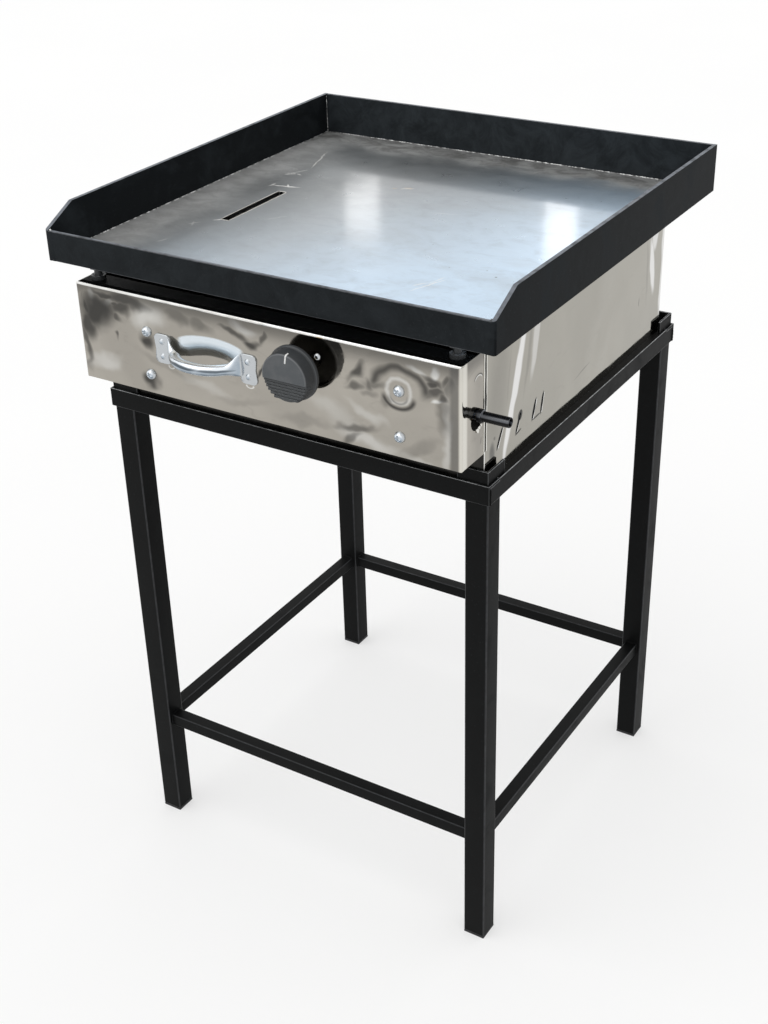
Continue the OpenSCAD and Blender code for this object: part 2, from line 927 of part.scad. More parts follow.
module grease_tray() {
    x0 = tray_x - tray_w / 2;
    x1 = tray_x + tray_w / 2;
    face_y = house_rear + slip;
    color(stainless) {
        difference() {
            slab(x0, x1, tray_front, face_y, tray_bottom, tray_bottom + tray_h);
            slab(x0 + tray_wall, x1 - tray_wall, tray_front + tray_wall, face_y - tray_wall,
                 tray_bottom + tray_wall, tray_bottom + tray_h + 1);
        }
        slab(x0 - tray_face_over, x1 + tray_face_over, face_y, face_y + tray_face_t,
             tray_bottom - tray_face_over, tray_bottom + tray_h + tray_face_over);
        slab(x0 + tray_face_over, x1 - tray_face_over, face_y, face_y + tray_grip,
             tray_bottom + tray_h - tray_face_t, tray_bottom + tray_h);
    }
}

// Griddle

module griddle_plate() {
    color(plate_grey)
        difference() {
            slab(-plate_x + rim_t, plate_x - rim_t, plate_y + rim_t, plate_rear - rim_t,
                 plate_z, plate_z + plate_t);
            translate([slot_x - slot_w / 2, slot_y - slot_l / 2, plate_z - 1])
                cube([slot_w, slot_l, plate_t + 2]);
        }
}

module rim_front() {
    color(steel_black)
        slab(-plate_x + rim_t, plate_x - rim_t, plate_y, plate_y + rim_t,
             plate_z, plate_z + rim_front_h);
}

module rim_rear() {
    color(steel_black)
        slab(-plate_x + rim_t, plate_x - rim_t, plate_rear - rim_t, plate_rear,
             plate_z, plate_z + rim_h);
}

// What the rounding takes off the front corner of a side rim; outward is 1 on the right, -1 on the left
module corner_waste(outward) {
    translate([outward * (plate_x - rim_round), plate_y + rim_round, plate_z - 1])
        linear_extrude(rim_h + 2)
            difference() {
                translate([outward > 0 ? 0 : -rim_round - 1, -rim_round - 1])
                    square(rim_round + 1);
                circle(r = rim_round);
            }
}

// Side rim over the full depth, with its front end sloped down to the front rim
module rim_side(x) {
    color(steel_black)
        difference() {
            translate([x, plate_y, plate_z])
                rotate([90, 0, 90])
                    linear_extrude(rim_t)
                        polygon([
                            [0, 0],
                            [plate_d, 0],
                            [plate_d, rim_h],
                            [rim_slope, rim_h],
                            [0, rim_front_h]
                        ]);
            corner_waste(sign(x));
        }
}

module rim_left() { rim_side(-plate_x); }
module rim_right() { rim_side(plate_x - rim_t); }

module griddle_feet() {
    color(zinc)
        for (x = foot_xs, y = foot_ys)
            translate([x, y, house_top]) {
                cylinder(d = foot_head_d, h = foot_head_t);
                cylinder(d = foot_bolt_d, h = plate_gap);
            }
}

module griddle_foot_nuts() {
    color(zinc)
        for (x = foot_xs, y = foot_ys)
            translate([x, y, plate_z - nut_t])
                hex_nut(nut_w, foot_bolt_d + 2 * fit, nut_t);
}

leg_front_left();
leg_front_right();
leg_rear_left();
leg_rear_right();
leg_end_caps();
frame_bar_front();
frame_bar_rear();
frame_bar_left();
frame_bar_right();
stretcher_front();
stretcher_rear();
stretcher_left();
stretcher_right();
guide_front_left();
guide_front_right();
guide_rear_left();
guide_rear_right();
housing_side_left();
housing_side_right();
housing_rear_panel();
housing_front_wall();
housing_floor();
front_box();
box_bracket_left();
box_bracket_right();
front_screws();
front_screw_nuts();
handle();
handle_rivets();
griddle_rest_front();
griddle_rest_rear();
gas_manifold();
inlet_coupling();
gas_inlet();
valve_body();
valve_screws();
stem_spring();
stem_collar();
valve_stem();
knob();
injector();
burner_tube();
burner_end_cap();
burner_cradles();
tray_runners();
grease_tray();
griddle_plate();
rim_front();
rim_rear();
rim_left();
rim_right();
griddle_feet();
griddle_foot_nuts();
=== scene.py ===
"""Looks of the gas griddle: the finish of every surface, the small pieces that dress the CAD frame,
the stage, the lamps and the camera. Sizes are in millimetres unless a name says otherwise."""

import json
from math import asin, atan2, copysign, cos, degrees, hypot, pi, radians, sin, sqrt

import bmesh
import bpy
from mathutils import Matrix, Vector, noise


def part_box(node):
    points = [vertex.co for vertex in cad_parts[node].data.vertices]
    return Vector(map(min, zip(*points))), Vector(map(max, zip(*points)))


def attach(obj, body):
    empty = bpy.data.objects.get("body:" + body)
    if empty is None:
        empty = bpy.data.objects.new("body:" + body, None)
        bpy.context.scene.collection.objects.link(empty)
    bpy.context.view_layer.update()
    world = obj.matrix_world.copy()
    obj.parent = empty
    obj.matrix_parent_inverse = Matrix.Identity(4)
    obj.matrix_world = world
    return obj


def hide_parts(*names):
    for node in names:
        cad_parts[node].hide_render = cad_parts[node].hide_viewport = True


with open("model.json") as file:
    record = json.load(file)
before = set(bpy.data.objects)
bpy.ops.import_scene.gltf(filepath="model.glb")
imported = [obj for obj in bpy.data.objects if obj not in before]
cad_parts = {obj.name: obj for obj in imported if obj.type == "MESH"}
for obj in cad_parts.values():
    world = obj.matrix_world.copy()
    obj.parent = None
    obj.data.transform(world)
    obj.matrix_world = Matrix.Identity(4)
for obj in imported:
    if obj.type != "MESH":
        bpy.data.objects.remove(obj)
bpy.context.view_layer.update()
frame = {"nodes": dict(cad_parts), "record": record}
scene = bpy.context.scene

MM = 0.001
ENDLESS = 1e5


def add_object(name, data):
    made = bpy.data.objects.new(name, data)
    scene.collection.objects.link(made)
    return made


# Camera

IMAGE_W, IMAGE_H = 768, 1024
FOCAL_PIXELS = 1507.9
AXIS_PIXEL = (370.3, 504.2)
CAMERA_PLACE = (968.3, -1553.5, 1510.8)
CAMERA_TURN, CAMERA_TILT, CAMERA_ROLL = 32.96, 29.36, -1.9


def add_camera():
    data = bpy.data.cameras.new("camera")
    data.sensor_fit = "VERTICAL"
    data.sensor_height = 36
    data.lens = FOCAL_PIXELS / IMAGE_H * data.sensor_height
    data.shift_x = (IMAGE_W / 2 - AXIS_PIXEL[0]) / IMAGE_H
    data.shift_y = (AXIS_PIXEL[1] - IMAGE_H / 2) / IMAGE_H
    camera = add_object("camera", data)
    camera.matrix_world = (
        Matrix.Translation(Vector(CAMERA_PLACE) * MM)
        @ Matrix.Rotation(radians(CAMERA_TURN), 4, "Z")
        @ Matrix.Rotation(radians(90 - CAMERA_TILT), 4, "X")
        @ Matrix.Rotation(radians(CAMERA_ROLL), 4, "Z")
    )
    scene.camera = camera


# Places that the looks share with the frame


def box_mm(node):
    """Lowest and highest corner of a CAD node, in millimetres."""
    low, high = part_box(node)
    return low / MM, high / MM


PLATE_LOW, PLATE_HIGH = box_mm("griddle_plate")
PANEL_LOW, PANEL_HIGH = box_mm("front_box")
KNOB_LOW, KNOB_HIGH = box_mm("knob")
HANDLE_LOW, HANDLE_HIGH = box_mm("handle")
RIM_T = box_mm("rim_right")[1].x - PLATE_HIGH.x
PANEL_Y = PANEL_LOW.y
HOUSE_X = PANEL_HIGH.x
HOUSE_TOP = PANEL_HIGH.z
KNOB_X = (KNOB_LOW.x + KNOB_HIGH.x) / 2
KNOB_Z = (KNOB_LOW.z + KNOB_HIGH.z) / 2
KNOB_R = (KNOB_HIGH.x - KNOB_LOW.x) / 2
KNOB_FRONT, KNOB_REAR = KNOB_LOW.y, KNOB_HIGH.y
# Flat upper part of the knob's face: its radius, and its lower edge under the knob's axis
FACE_R = KNOB_R - 3.2
CHORD = -4.4


# Materials

MATERIALS = {}


def shade(color, factor):
    return [factor * c for c in color]


class Finish:
    """One material, with short calls for the nodes that the finishes share."""

    def __init__(self, name, color, **sockets):
        self.material = MATERIALS[name] = bpy.data.materials.new(name)
        self.material.use_nodes = True
        self.material.diffuse_color = (*color, 1)
        self.tree = self.material.node_tree
        self.shader = self.tree.nodes["Principled BSDF"]
        self.color = (*color, 1)
        self.place = self.tree.nodes.new("ShaderNodeTexCoord").outputs["Object"]
        self.set(base_color=self.color, **sockets)

    def put(self, socket, value):
        if isinstance(value, bpy.types.NodeSocket):
            self.tree.links.new(value, socket)
        else:
            socket.default_value = value

    def set(self, **sockets):
        for name, value in sockets.items():
            self.put(self.shader.inputs[name.replace("_", " ").title().replace("Ior", "IOR")], value)

    def done(self, **sockets):
        """Sets the colour laid so far and the last sockets."""
        self.set(base_color=self.color, **sockets)

    def node(self, kind, inputs, output=0, **settings):
        made = self.tree.nodes.new("ShaderNode" + kind)
        for setting, value in settings.items():
            setattr(made, setting, value)
        for socket, value in inputs.items():
            self.put(made.inputs[socket], value)
        return made.outputs[output]

    def noise(self, size, detail=3, rough=0.55, stretch=(1, 1, 1), distort=0):
        """Noise from 0 to 1 whose patches are about that size, with detail finer octaves in them."""
        vector = self.node("Mapping", {"Vector": self.place, "Scale": stretch})
        return self.node("TexNoise", {
            "Vector": vector, "Scale": 1 / (size * MM), "Detail": detail,
            "Roughness": rough, "Distortion": distort})

    def spread(self, value, low, high, start=0, end=1):
        """start where value is low, end where it is high, and smooth between."""
        return self.node("MapRange", {
            "Value": value, "From Min": low, "From Max": high, "To Min": start, "To Max": end},
            interpolation_type="SMOOTHSTEP")

    def math(self, operation, first, *others):
        """The operation on the first value and each other one in turn."""
        for other in others or (0,):
            first = self.node("Math", {0: first, 1: other}, operation=operation)
        return first

    def times(self, *values):
        return self.math("MULTIPLY", *values)

    def most(self, *values):
        return self.math("MAXIMUM", *values)

    def mix(self, share, first, second):
        first, second = (c if isinstance(c, bpy.types.NodeSocket) else (*c[:3], 1) for c in (first, second))
        return self.node("Mix", {0: share, 6: first, 7: second}, output=2, data_type="RGBA")

    def lay(self, share, tone):
        """Lays a tone over the colour so far, fully where share is 1."""
        self.color = self.mix(share, self.color, tone)

    def part(self, vector, letter):
        return self.node("SeparateXYZ", {0: vector}, output="XYZ".index(letter))

    def axis(self, letter):
        """Coordinate along X, Y or Z in metres."""
        return self.part(self.place, letter)

    def facing(self, letter):
        """1 where the surface faces along that axis, 0 across it and -1 against it."""
        return self.part(self.node("NewGeometry", {}, output=1), letter)

    def along(self, letter, low, high, start=0, end=1):
        """start up to the place low on that axis, end from high on."""
        return self.spread(self.axis(letter), low * MM, high * MM, start, end)

    def vector(self, operation, first, second=(0, 0, 0), output=0):
        return self.node("VectorMath", {0: first, 1: second}, output=output, operation=operation)

    def wander(self, size, reach):
        """The place moved about by noise, so that what is drawn there gets curling outlines."""
        settings = {"Vector": self.place, "Scale": 1 / (size * MM), "Detail": 2.0}
        drift = self.node("TexNoise", settings, output=1)
        centred = self.vector("SUBTRACT", drift, (0.5, 0.5, 0.5))
        return self.vector("ADD", self.place, self.vector("MULTIPLY", centred, (reach * MM,) * 3))

    def oval(self, vector, through, center, half, turn=0):
        """Distance from the middle of an oval, 1 on its outline. It runs on along the axis through and is
        turned about it, in degrees; center and half widths are on the two other axes."""
        axis = "XYZ".index(through)
        place, size, spin = [c * MM for c in center], [h * MM for h in half], [0, 0, 0]
        place.insert(axis, 0)
        size.insert(axis, ENDLESS * MM)
        spin[axis] = radians(-turn if through == "Y" else turn)
        local = self.node("Mapping", {"Vector": vector, "Location": place, "Rotation": spin, "Scale": size},
                          vector_type="TEXTURE")
        return self.vector("LENGTH", local, output=1)

    def patches(self, vector, through, rows, core=0.2):
        """Soft ovals, each full at its middle; rows hold place, half widths, turn and strength."""
        total = 0.0
        for *oval, turn, strength in rows:
            away = self.oval(vector, through, oval[:2], oval[2:], turn)
            total = self.most(total, self.spread(away, core, 1, strength, 0))
        return total

    def ring(self, vector, through, center, half, width, strength):
        """Soft line of that width, as a share of the half widths, along the outline of an oval."""
        away = self.math("SUBTRACT", self.oval(vector, through, center, half), 1)
        return self.spread(self.math("ABSOLUTE", away), 0, width, strength, 0)

    def bump(self, height, depth, below=None):
        """Relief of that depth in millimetres; below is an earlier bump."""
        inputs = {"Height": height, "Distance": depth * MM, "Strength": 1.0}
        if below is not None:
            inputs["Normal"] = below
        return self.node("Bump", inputs)


# Share of the shine kept on faces of black paint that face right, which darkens them as painted shade
SIDE_DULL = 0.6


def black_paint(name, base=(0.0048, 0.0051, 0.0052), dust=0.4, shine=0.07, rough=0.42, top=None,
                front_light_gain=1, rear_light_gain=1):
    """Satin black paint on rolled steel, with dust, rubbed patches and a fine grain. On the upper faces a
    painted sheen of the colour top is laid in patches. The faces to the front are lightened as painted light,
    by front_light_gain or, in the rear half, by rear_light_gain; those to the right get less shine, as
    painted shade."""
    f = Finish(name, base, roughness=rough, specular_ior_level=shine)
    rubbed = f.spread(f.noise(70, 6, rough=0.65, distort=0.6), 0.45, 0.75)
    specks = f.spread(f.noise(2.2, 2), 0.66, 0.74)
    uneven = f.spread(f.noise(38, 7, rough=0.72, distort=0.8), 0.3, 0.7, 0.25, 0.75)
    # Painted light on the faces to the front
    front_lit = f.times(f.spread(f.facing("Y"), -0.95, -0.6, 1, 0), uneven)
    near, far = (shade(base, 2 * gain - 1) for gain in (front_light_gain, rear_light_gain))
    f.lay(f.times(rubbed, dust), shade(base, 3.2))
    f.lay(front_lit, f.mix(f.along("Y", -50, 50), near, far))
    f.lay(f.times(specks, dust), (0.035, 0.037, 0.041))
    if top is not None:
        # Painted sheen on the upper faces
        top_sheen_share = f.spread(f.noise(16, 4), 0.3, 0.6, 0.45, 1)
        f.lay(f.times(f.spread(f.facing("Z"), 0.7, 0.95), top_sheen_share), top)
    grain = f.bump(f.noise(1.6, 3), 0.06)
    f.done(specular_ior_level=f.spread(f.facing("X"), 0.5, 0.95, shine, SIDE_DULL * shine),
           roughness=f.spread(rubbed, 0, 1, rough, rough + 0.14),
           normal=f.bump(f.noise(22, 4, stretch=(1, 1, 0.6)), 0.22, below=grain))


def worn_lit_edge(name, color, sides=None):
    """Black paint rubbed thin along an edge, so that the steel shows, and lighter there as a painted
    highlight; with sides, only the top of the edge is light and its other faces take the tone sides, a
    painted shade.
    """
    f = Finish(name, color, metallic=0.35, roughness=0.38)
    wear = f.spread(f.noise(9, 5, rough=0.7), 0.35, 0.65)
    f.color = f.mix(wear, shade(color, 0.35), color)
    # Painted highlight on top of the edge, painted shade on its sides
    if sides is not None:
        f.color = f.mix(f.spread(f.facing("Z"), 0.15, 0.4), sides, f.color)
    f.done(normal=f.bump(f.noise(2.5), 0.1))


def two_tone(name, color, tones, size, low, high, rough=0.55, **sockets):
    """A finish of two tones, in patches of that size."""
    f = Finish(name, color, **sockets)
    f.color = f.mix(f.spread(f.noise(size, detail=4, rough=rough), low, high), *tones)
    f.done()


STEEL = (0.385, 0.362, 0.322)
# Tones of the painted dark and light reflections on the polished sheets
STEEL_DARK = (0.045, 0.044, 0.042)
STEEL_LIGHT = (0.74, 0.74, 0.72)


def polished_sheet(name):
    """Mirror-polished stainless sheet with a shallow dented waviness, faint wipe marks, and painted
    reflections: clouds and dark streaks laid in its colour.
    """
    f = Finish(name, STEEL, metallic=1, roughness=0.07)
    cloud = f.noise(130, 2, distort=0.8)
    f.color = f.mix(f.spread(cloud, 0.35, 0.7), shade(STEEL, 0.9), shade(STEEL, 1.1))
    streaks = f.noise(34, 4, rough=0.6, stretch=(1, 1, 2.2), distort=1.4)
    f.lay(f.spread(streaks, 0.52, 0.78, 0, 0.28), shade(STEEL, 0.55))
    wipes = f.noise(45, 5, rough=0.6, stretch=(1, 1, 3))
    waves = f.noise(90, 1, rough=0.4, distort=0.5)
    f.set(roughness=f.spread(wipes, 0.4, 0.75, 0.05, 0.16), normal=f.bump(waves, 1.6))
    return f


# Painted dark reflections where the front panel is dented, which show as dark curls; the light curls are the
# painted highlights of PANEL_GLINTS
PANEL_DENT_REFLECTIONS = [
    (-238, 830, 48, 35, 14, 0.95), (-259, 838, 6, 16, 0, 0.55), (-254, 812, 20, 38, -14, 0.9),
    (-263, 784, 7, 50, 4, 0.75), (-204, 838, 34, 13, 24, 0.86), (-192, 850, 64, 14, -2, 0.88),
    (-164, 806, 18, 14, 0, 0.92), (-163, 751, 19, 14, 0, 0.92), (-116, 850, 38, 15, -12, 0.6),
    (-84, 842, 30, 13, -18, 0.55), (-28, 840, 40, 8, -15, 0.8), (-4, 832, 17, 8, -5, 0.9),
    (10, 843, 6, 19, -18, 0.75), (-225, 851, 36, 8, 0, 0.9), (-211, 823, 14, 10, -30, 0.78),
    (-211, 840, 14, 8, 10, 0.84), (-255, 832, 10, 13, 0, 0.92), (157, 820, 24, 9, 8, 0.55),
    (152, 806, 14, 6, 0, 0.35), (-212, 796, 3, 7, 20, 0.7), (137, 831, 28, 8, 44, 0.85),
    (134, 812, 17, 7, 5, 0.7), (131, 759, 42, 8, 10, 0.62), (124, 744, 24, 8, 38, 0.62),
    (234, 822, 24, 8, 22, 0.8), (230, 835, 24, 9, -20, 0.8), (246, 800, 12, 34, 0, 0.5),
    (190, 853, 95, 8, 0, 0.34), (250, 838, 9, 24, 0, 0.6), (-140, 776, 60, 10, -18, 0.2),
    (60, 748, 60, 9, 6, 0.22), (215, 752, 40, 9, 30, 0.26), (-30, 752, 50, 8, 12, 0.16),
    (230, 831, 12, 10, 10, 0.88), (245, 819, 10, 10, -10, 0.8), (246, 840, 8, 15, -20, 0.75),
    (150, 818, 9, 14, 10, 0.62), (171, 800, 9, 12, 0, 0.5), (150, 764, 14, 6, 20, 0.4),
    (4, 797, 2, 15, 8, 0.9), (-147, 789, 2, 12, 4, 0.6)]
# Painted shade on the returns of the box
RETURN_SHADES = [(-248, 790, 24, 130, 0, 0.2), (-243, 755, 4, 5, 0, 0.55), (-244, 727, 14, 12, 0, 0.4)]
PANEL_GLINTS = [
    (-160, 836, 36, 24, 10, 0.5), (-222, 842, 12, 7, 35, 0.42), (-243, 846, 7, 9, 0, 0.45),
    (-236, 764, 40, 15, 14, 0.4), (-16, 850, 26, 9, -12, 0.5), (231, 846, 6, 12, -25, 0.9),
    (238, 813, 14, 4, 22, 0.85), (212, 845, 12, 6, -20, 0.6), (100, 772, 50, 18, -14, 0.22),
    (150, 745, 60, 14, -10, 0.4), (250, 770, 7, 80, 0, 0.35), (150, 780, 34, 8, -25, 0.3),
    (-80, 760, 50, 12, -10, 0.22), (215, 735, 40, 8, -8, 0.25)]
PANEL_SCREW = (189, 814)
# Dark curves under that screw, painted reflections: centre, half widths, line width, strength
SCREW_CURVES = [((189, 807), (19, 14), 0.3, 0.9), ((189, 808), (11, 9), 0.25, 0.5)]
HEM_SHADE = 26
# Painted reflections of the corner bends: the two offsets from the side that bound the dark band, and how far
# back the light flank reaches on the side
BEND_DARK = (-17, -5)
BEND_LIGHT = 15
# Bent knockout on the right return of the box, its outline painted as a shade line and a highlight line: its
# centre, then half widths, line width and tone
KNOCKOUT = (-250, 829)
KNOCKOUT_LINES = [((9.4, 7.2), 0.22, (0.05, 0.05, 0.045)), ((8, 5.9), 0.18, STEEL_LIGHT)]
# Painted reflection of the bow on the polished panel, as an arc: middle, half widths, lowest height, two ends
# and their fade
BOW_ARC = (-66, 789)
BOW_ARC_HALF = (63, 32)
BOW_ARC_FROM = 800
BOW_ARC_ENDS = (-118, -18)
BOW_ARC_FADE = 8
# Small bright curls under the plates of the handle, painted reflections
PANEL_CURLS = [((-129, 776), (4, 3)), ((-13, 776), (5, 3))]


def bow_arc(f, on_front):
    """The share and the tone of the arc painted on the panel as the reflection of the handle's bow."""
    away = f.oval(f.wander(60, 3), "Y", BOW_ARC, BOW_ARC_HALF)
    left, right = BOW_ARC_ENDS
    share = f.times(f.spread(away, 0.66, 0.74, 0, 0.92), f.spread(away, 1.12, 1.19, 1, 0),
                    f.along("Z", BOW_ARC_FROM, BOW_ARC_FROM + BOW_ARC_FADE),
                    f.along("X", left, left + BOW_ARC_FADE),
                    f.along("X", right - BOW_ARC_FADE, right, 1, 0), on_front)
    return share, f.mix(f.spread(away, 0.7, 0.98), (0.3, 0.37, 0.42), (0.82, 0.9, 0.96))


def front_panel():
    """The front box, with painted light: dark and light curls of reflection where it is dented, the painted
    shade under its hem, painted bands along its bends, painted lines round its knockout and the painted
    reflection of the bow.
    """
    f = polished_sheet("front_panel")
    f.lay(0.25, STEEL)
    curls = f.wander(34, 30)
    # Painted highlights: glints, a halo round the right screw and bright curls under the handle's plates
    bright = f.patches(curls, "Y", PANEL_GLINTS)
    halo = f.ring(f.wander(12, 5), "Y", PANEL_SCREW, (15, 15), 0.28, 0.5)
    for center, half in PANEL_CURLS:
        open_above = f.along("Z", center[1], center[1] + 1, 1, 0)
        bright = f.most(bright, f.times(open_above, f.ring(f.place, "Y", center, half, 0.4, 0.9)))
    f.lay(f.most(bright, halo), STEEL_LIGHT)
    # Painted dark reflections in the dented sheet and round the right screw, painted shade on the returns and
    # under the hem
    arch = f.times(f.along("Z", 806, 822), f.ring(f.wander(40, 14), "Y", PANEL_SCREW, (34, 28), 0.3, 0.85))
    lower = f.along("Z", 802, 812, 1, 0)
    curves = [f.times(lower, f.ring(f.place, "Y", *row)) for row in SCREW_CURVES]
    under_hem = f.along("Z", HOUSE_TOP - HEM_SHADE, HOUSE_TOP - 3, 0, 0.62)
    painted_dark = f.most(f.patches(curls, "Y", PANEL_DENT_REFLECTIONS), f.patches(curls, "X", RETURN_SHADES))
    f.lay(f.most(painted_dark, arch, *curves, under_hem), STEEL_DARK)
    on_front = f.along("Y", PANEL_Y + 1.5, PANEL_Y + 2.5, 1, 0)
    # Painted reflections of the corner bends: a dark band on the front, a light lip at its edge and a light
    # flank on the side
    start, stop = (HOUSE_X + side for side in BEND_DARK)
    band = f.times(f.along("X", start, start + 6, 0, 0.62), f.along("X", stop, stop + 3, 1, 0))
    f.lay(f.times(band, on_front), (0.09, 0.09, 0.088))
    lip = f.times(f.along("X", HOUSE_X - 4, HOUSE_X - 1), on_front)
    side = f.along("Y", PANEL_Y + BEND_LIGHT - 5, PANEL_Y + BEND_LIGHT, 1, 0)
    flank = f.times(side, f.math("SUBTRACT", 1, on_front))
    f.lay(f.times(f.most(lip, flank), 0.8), (0.72, 0.7, 0.64))
    # Painted shade line and highlight line round the knockout
    middle = KNOCKOUT[1]
    aside = f.times(f.along("Z", middle + 1, middle + 4), f.along("X", HOUSE_X - 6, HOUSE_X - 5))
    for half, width, tone in KNOCKOUT_LINES:
        f.lay(f.times(f.ring(f.place, "X", KNOCKOUT, half, width, 0.9), aside), tone)
    # Painted reflection of the handle's bow, less metallic so that it shows light
    mirrored, tone = bow_arc(f, on_front)
    f.lay(mirrored, tone)
    f.done(metallic=f.spread(mirrored, 0, 1, 1, 0.35))


# Creases of the housing sides, which catch the light
SIDE_BANDS = [
    (-163, 782, 9, 120, -17, 1), (-113, 830, 9, 60, -10, 0.5), (229, 800, 9, 48, 9, 0.95),
    (236, 842, 12, 26, -10, 0.8), (264, 790, 8, 90, 0, 0.9)]
SIDE_SHADES = [
    (-130, 815, 6, 70, -10, 0.24), (213, 800, 5, 60, 4, 0.2), (-205, 790, 36, 130, -8, 0.22),
    (-180, 800, 4, 60, -8, 0.18), (189, 765, 1.2, 9, 0, 0.95), (-212, 741, 5, 5, 0, 0.6),
    (-218, 724, 10, 22, 0, 0.75), (20, 735, 30, 1.4, 8, 0.45)]
# Dark marks of painted shade round the vent slots: each slot, then the torn tab of the second and the two
# feet
VENT_SHADE_SPOTS = [
    (-199, 736.5, 3.1, 16, -30, 1), (-153, 736.5, 3.3, 16, -28, 1), (-113, 736.5, 3.6, 16, -21, 1),
    (-92, 736.5, 3.4, 16, -14, 1), (-149, 744, 6, 8, -28, 0.9), (-153, 724.5, 9, 1.5, 10, 0.85),
    (-106, 724.5, 12, 1.4, 3, 0.85)]
VENT_SHADE_BLACK = (0.012, 0.012, 0.011)


def lay_vent_shade(f):
    """Lays painted shade on the right side sheet where a vent slot or its torn edge is dark; gives what stays
    metal.
    """
    marks = f.times(f.patches(f.place, "X", VENT_SHADE_SPOTS, core=0.75), f.along("X", 0, 100))
    f.lay(marks, VENT_SHADE_BLACK)
    return f.math("SUBTRACT", 1, marks)


def housing_side():
    """Side and rear sheets: paler, in a tone darkened as painted shade, with more painted shade, with upright
    creases near the corners painted as highlights and with painted shade in the vent slots.
    """
    f = polished_sheet("housing_side")
    f.lay(0.7, (0.325, 0.314, 0.276))
    bent = f.wander(60, 16)
    f.lay(f.patches(bent, "X", SIDE_SHADES), STEEL_DARK)
    f.lay(f.patches(bent, "X", SIDE_BANDS, core=0.55), (0.74, 0.735, 0.725))
    f.done(metallic=lay_vent_shade(f), specular_ior_level=0.1)


# Edges of the polished sheets, painted lighter than the sheet as a highlight, with the painted shade of the
# vent slots
def stainless_lit_edge(name, dim, bright):
    f = Finish(name, bright, metallic=1, roughness=0.16)
    f.color = f.mix(f.spread(f.noise(45, 2), 0.3, 0.6), dim, bright)
    f.done(metallic=lay_vent_shade(f))


# Sheet inside the housing with soot in patches; as shaded_inner_sheet both tones are very dark, painted shade
# inside the housing
def inner_sheet(name, main_tone, soot_and_shade):
    f = Finish(name, main_tone, metallic=1, roughness=0.34)
    f.lay(f.spread(f.noise(60, 5, rough=0.6), 0.35, 0.7), soot_and_shade)
    f.done(roughness=f.spread(f.noise(3, stretch=(1, 0.05, 1)), 0.3, 0.7, 0.28, 0.42))


# Dark reflections along the bow of the handle
BOW_STREAKS = [(-92, 797, 38, 2.8, 0, 0.92), (-46, 796.5, 26, 2.2, 0, 0.8)]


def zinc():
    """Bright zinc plate with painted reflections: pale where it faces up, blue-grey where it faces out, dark
    where it starts to face down and pale again below; lighter on the plates, with dark streaks along the bow
    and light faces toward the panel.
    """
    f = Finish("zinc", (0.5, 0.55, 0.6), metallic=1, roughness=0.2)
    facing = f.facing("Z")
    bloom = f.spread(f.noise(9, 3, rough=0.5), 0.3, 0.75)
    f.color = f.mix(f.spread(facing, 0.02, 0.5), (0.37, 0.43, 0.49), (0.9, 0.95, 1))
    f.lay(f.spread(facing, -0.32, -0.08, 1, 0), (0.15, 0.19, 0.23))
    f.lay(f.spread(facing, -0.7, -0.45, 1, 0), (0.62, 0.65, 0.67))
    f.lay(f.times(bloom, 0.3), (0.66, 0.7, 0.74))
    # The plates in a lighter tone of painted reflection than the bow
    at_plates = f.along("Y", PANEL_Y - 4, PANEL_Y - 2.6)
    f.lay(f.times(at_plates, f.along("Y", PANEL_Y - 0.4, PANEL_Y, 1, 0)), (0.52, 0.545, 0.565))
    at_bow = f.along("Y", PANEL_Y - 9, PANEL_Y - 6, 1, 0)
    streaks = f.patches(f.wander(30, 5), "Y", BOW_STREAKS, core=0.45)
    f.lay(f.times(streaks, at_bow), (0.07, 0.09, 0.11))
    # Painted light on the faces toward the panel, nearly not metallic, so that the bow shows light in the
    # panel
    back = f.spread(f.facing("Y"), 0.05, 0.4)
    f.lay(back, (0.72, 0.77, 0.82))
    f.done(metallic=f.spread(back, 0, 1, 1, 0.1), roughness=f.spread(bloom, 0, 1, 0.14, 0.26))


# Scratches of the plate: both ends and strength
SCRATCHES = [
    (-228, 64, -178, 74, 1), (-206, 78, -196, 66, 0.8), (-226, 60, -222, 74, 0.9),
    (-245, 237, -217, 148, 0.55), (-217, 148, -232, 118, 0.6), (-207, -93, -188, -70, 0.8),
    (-221, -190, -213, -172, 0.4), (141, -190, 163, -131, 0.6), (136, -172, 150, -150, 0.5),
    (150, -160, 158, -125, 0.35), (-60, 128, -40, 140, 0.4), (60, -230, 110, -222, 0.2),
    (-150, -60, -128, -30, 0.2), (20, 60, 70, 74, 0.16), (-238, 112, -222, 124, 0.8),
    (-222, 124, -212, 119, 0.7), (-228, -118, -214, -100, 0.35), (-218, -122, -226, -104, 0.3)]
SCRATCH_HALF = 1.5
LOOPS = [((-229, 121), (6, 3), 0.7), ((-236, 140), (3, 2), 0.8)]
RUST = [(-50, 136, 9, 5, 10, 0.7), (-66, 128, 5, 3, 0, 0.5)]
PITS = [(209, -102, 2.2, 2.2, 0, 0.9), (190, -88, 1.5, 1.5, 0, 0.6), (146, -99, 1.5, 1.5, 0, 0.6),
        (90, -40, 1.4, 1.4, 0, 0.5), (-20, -150, 1.6, 1.6, 0, 0.5), (120, 40, 1.3, 1.3, 0, 0.5)]


def scratch_marks(f):
    """Thin pale lines and loops, each a very slim oval or ring."""
    crooked = f.wander(9, 5)
    rows = []
    for x0, y0, x1, y1, strength in SCRATCHES:
        half_length = hypot(x1 - x0, y1 - y0) / 2
        turn = degrees(atan2(y1 - y0, x1 - x0))
        rows.append(((x0 + x1) / 2, (y0 + y1) / 2, half_length, SCRATCH_HALF, turn, strength))
    loops = [f.ring(crooked, "Z", center, half, 0.16, strength) for center, half, strength in LOOPS]
    marks = f.most(f.patches(crooked, "Z", rows, core=0.6), *loops)
    return f.times(marks, f.spread(f.noise(4, 3), 0.36, 0.55, 0.75, 1))


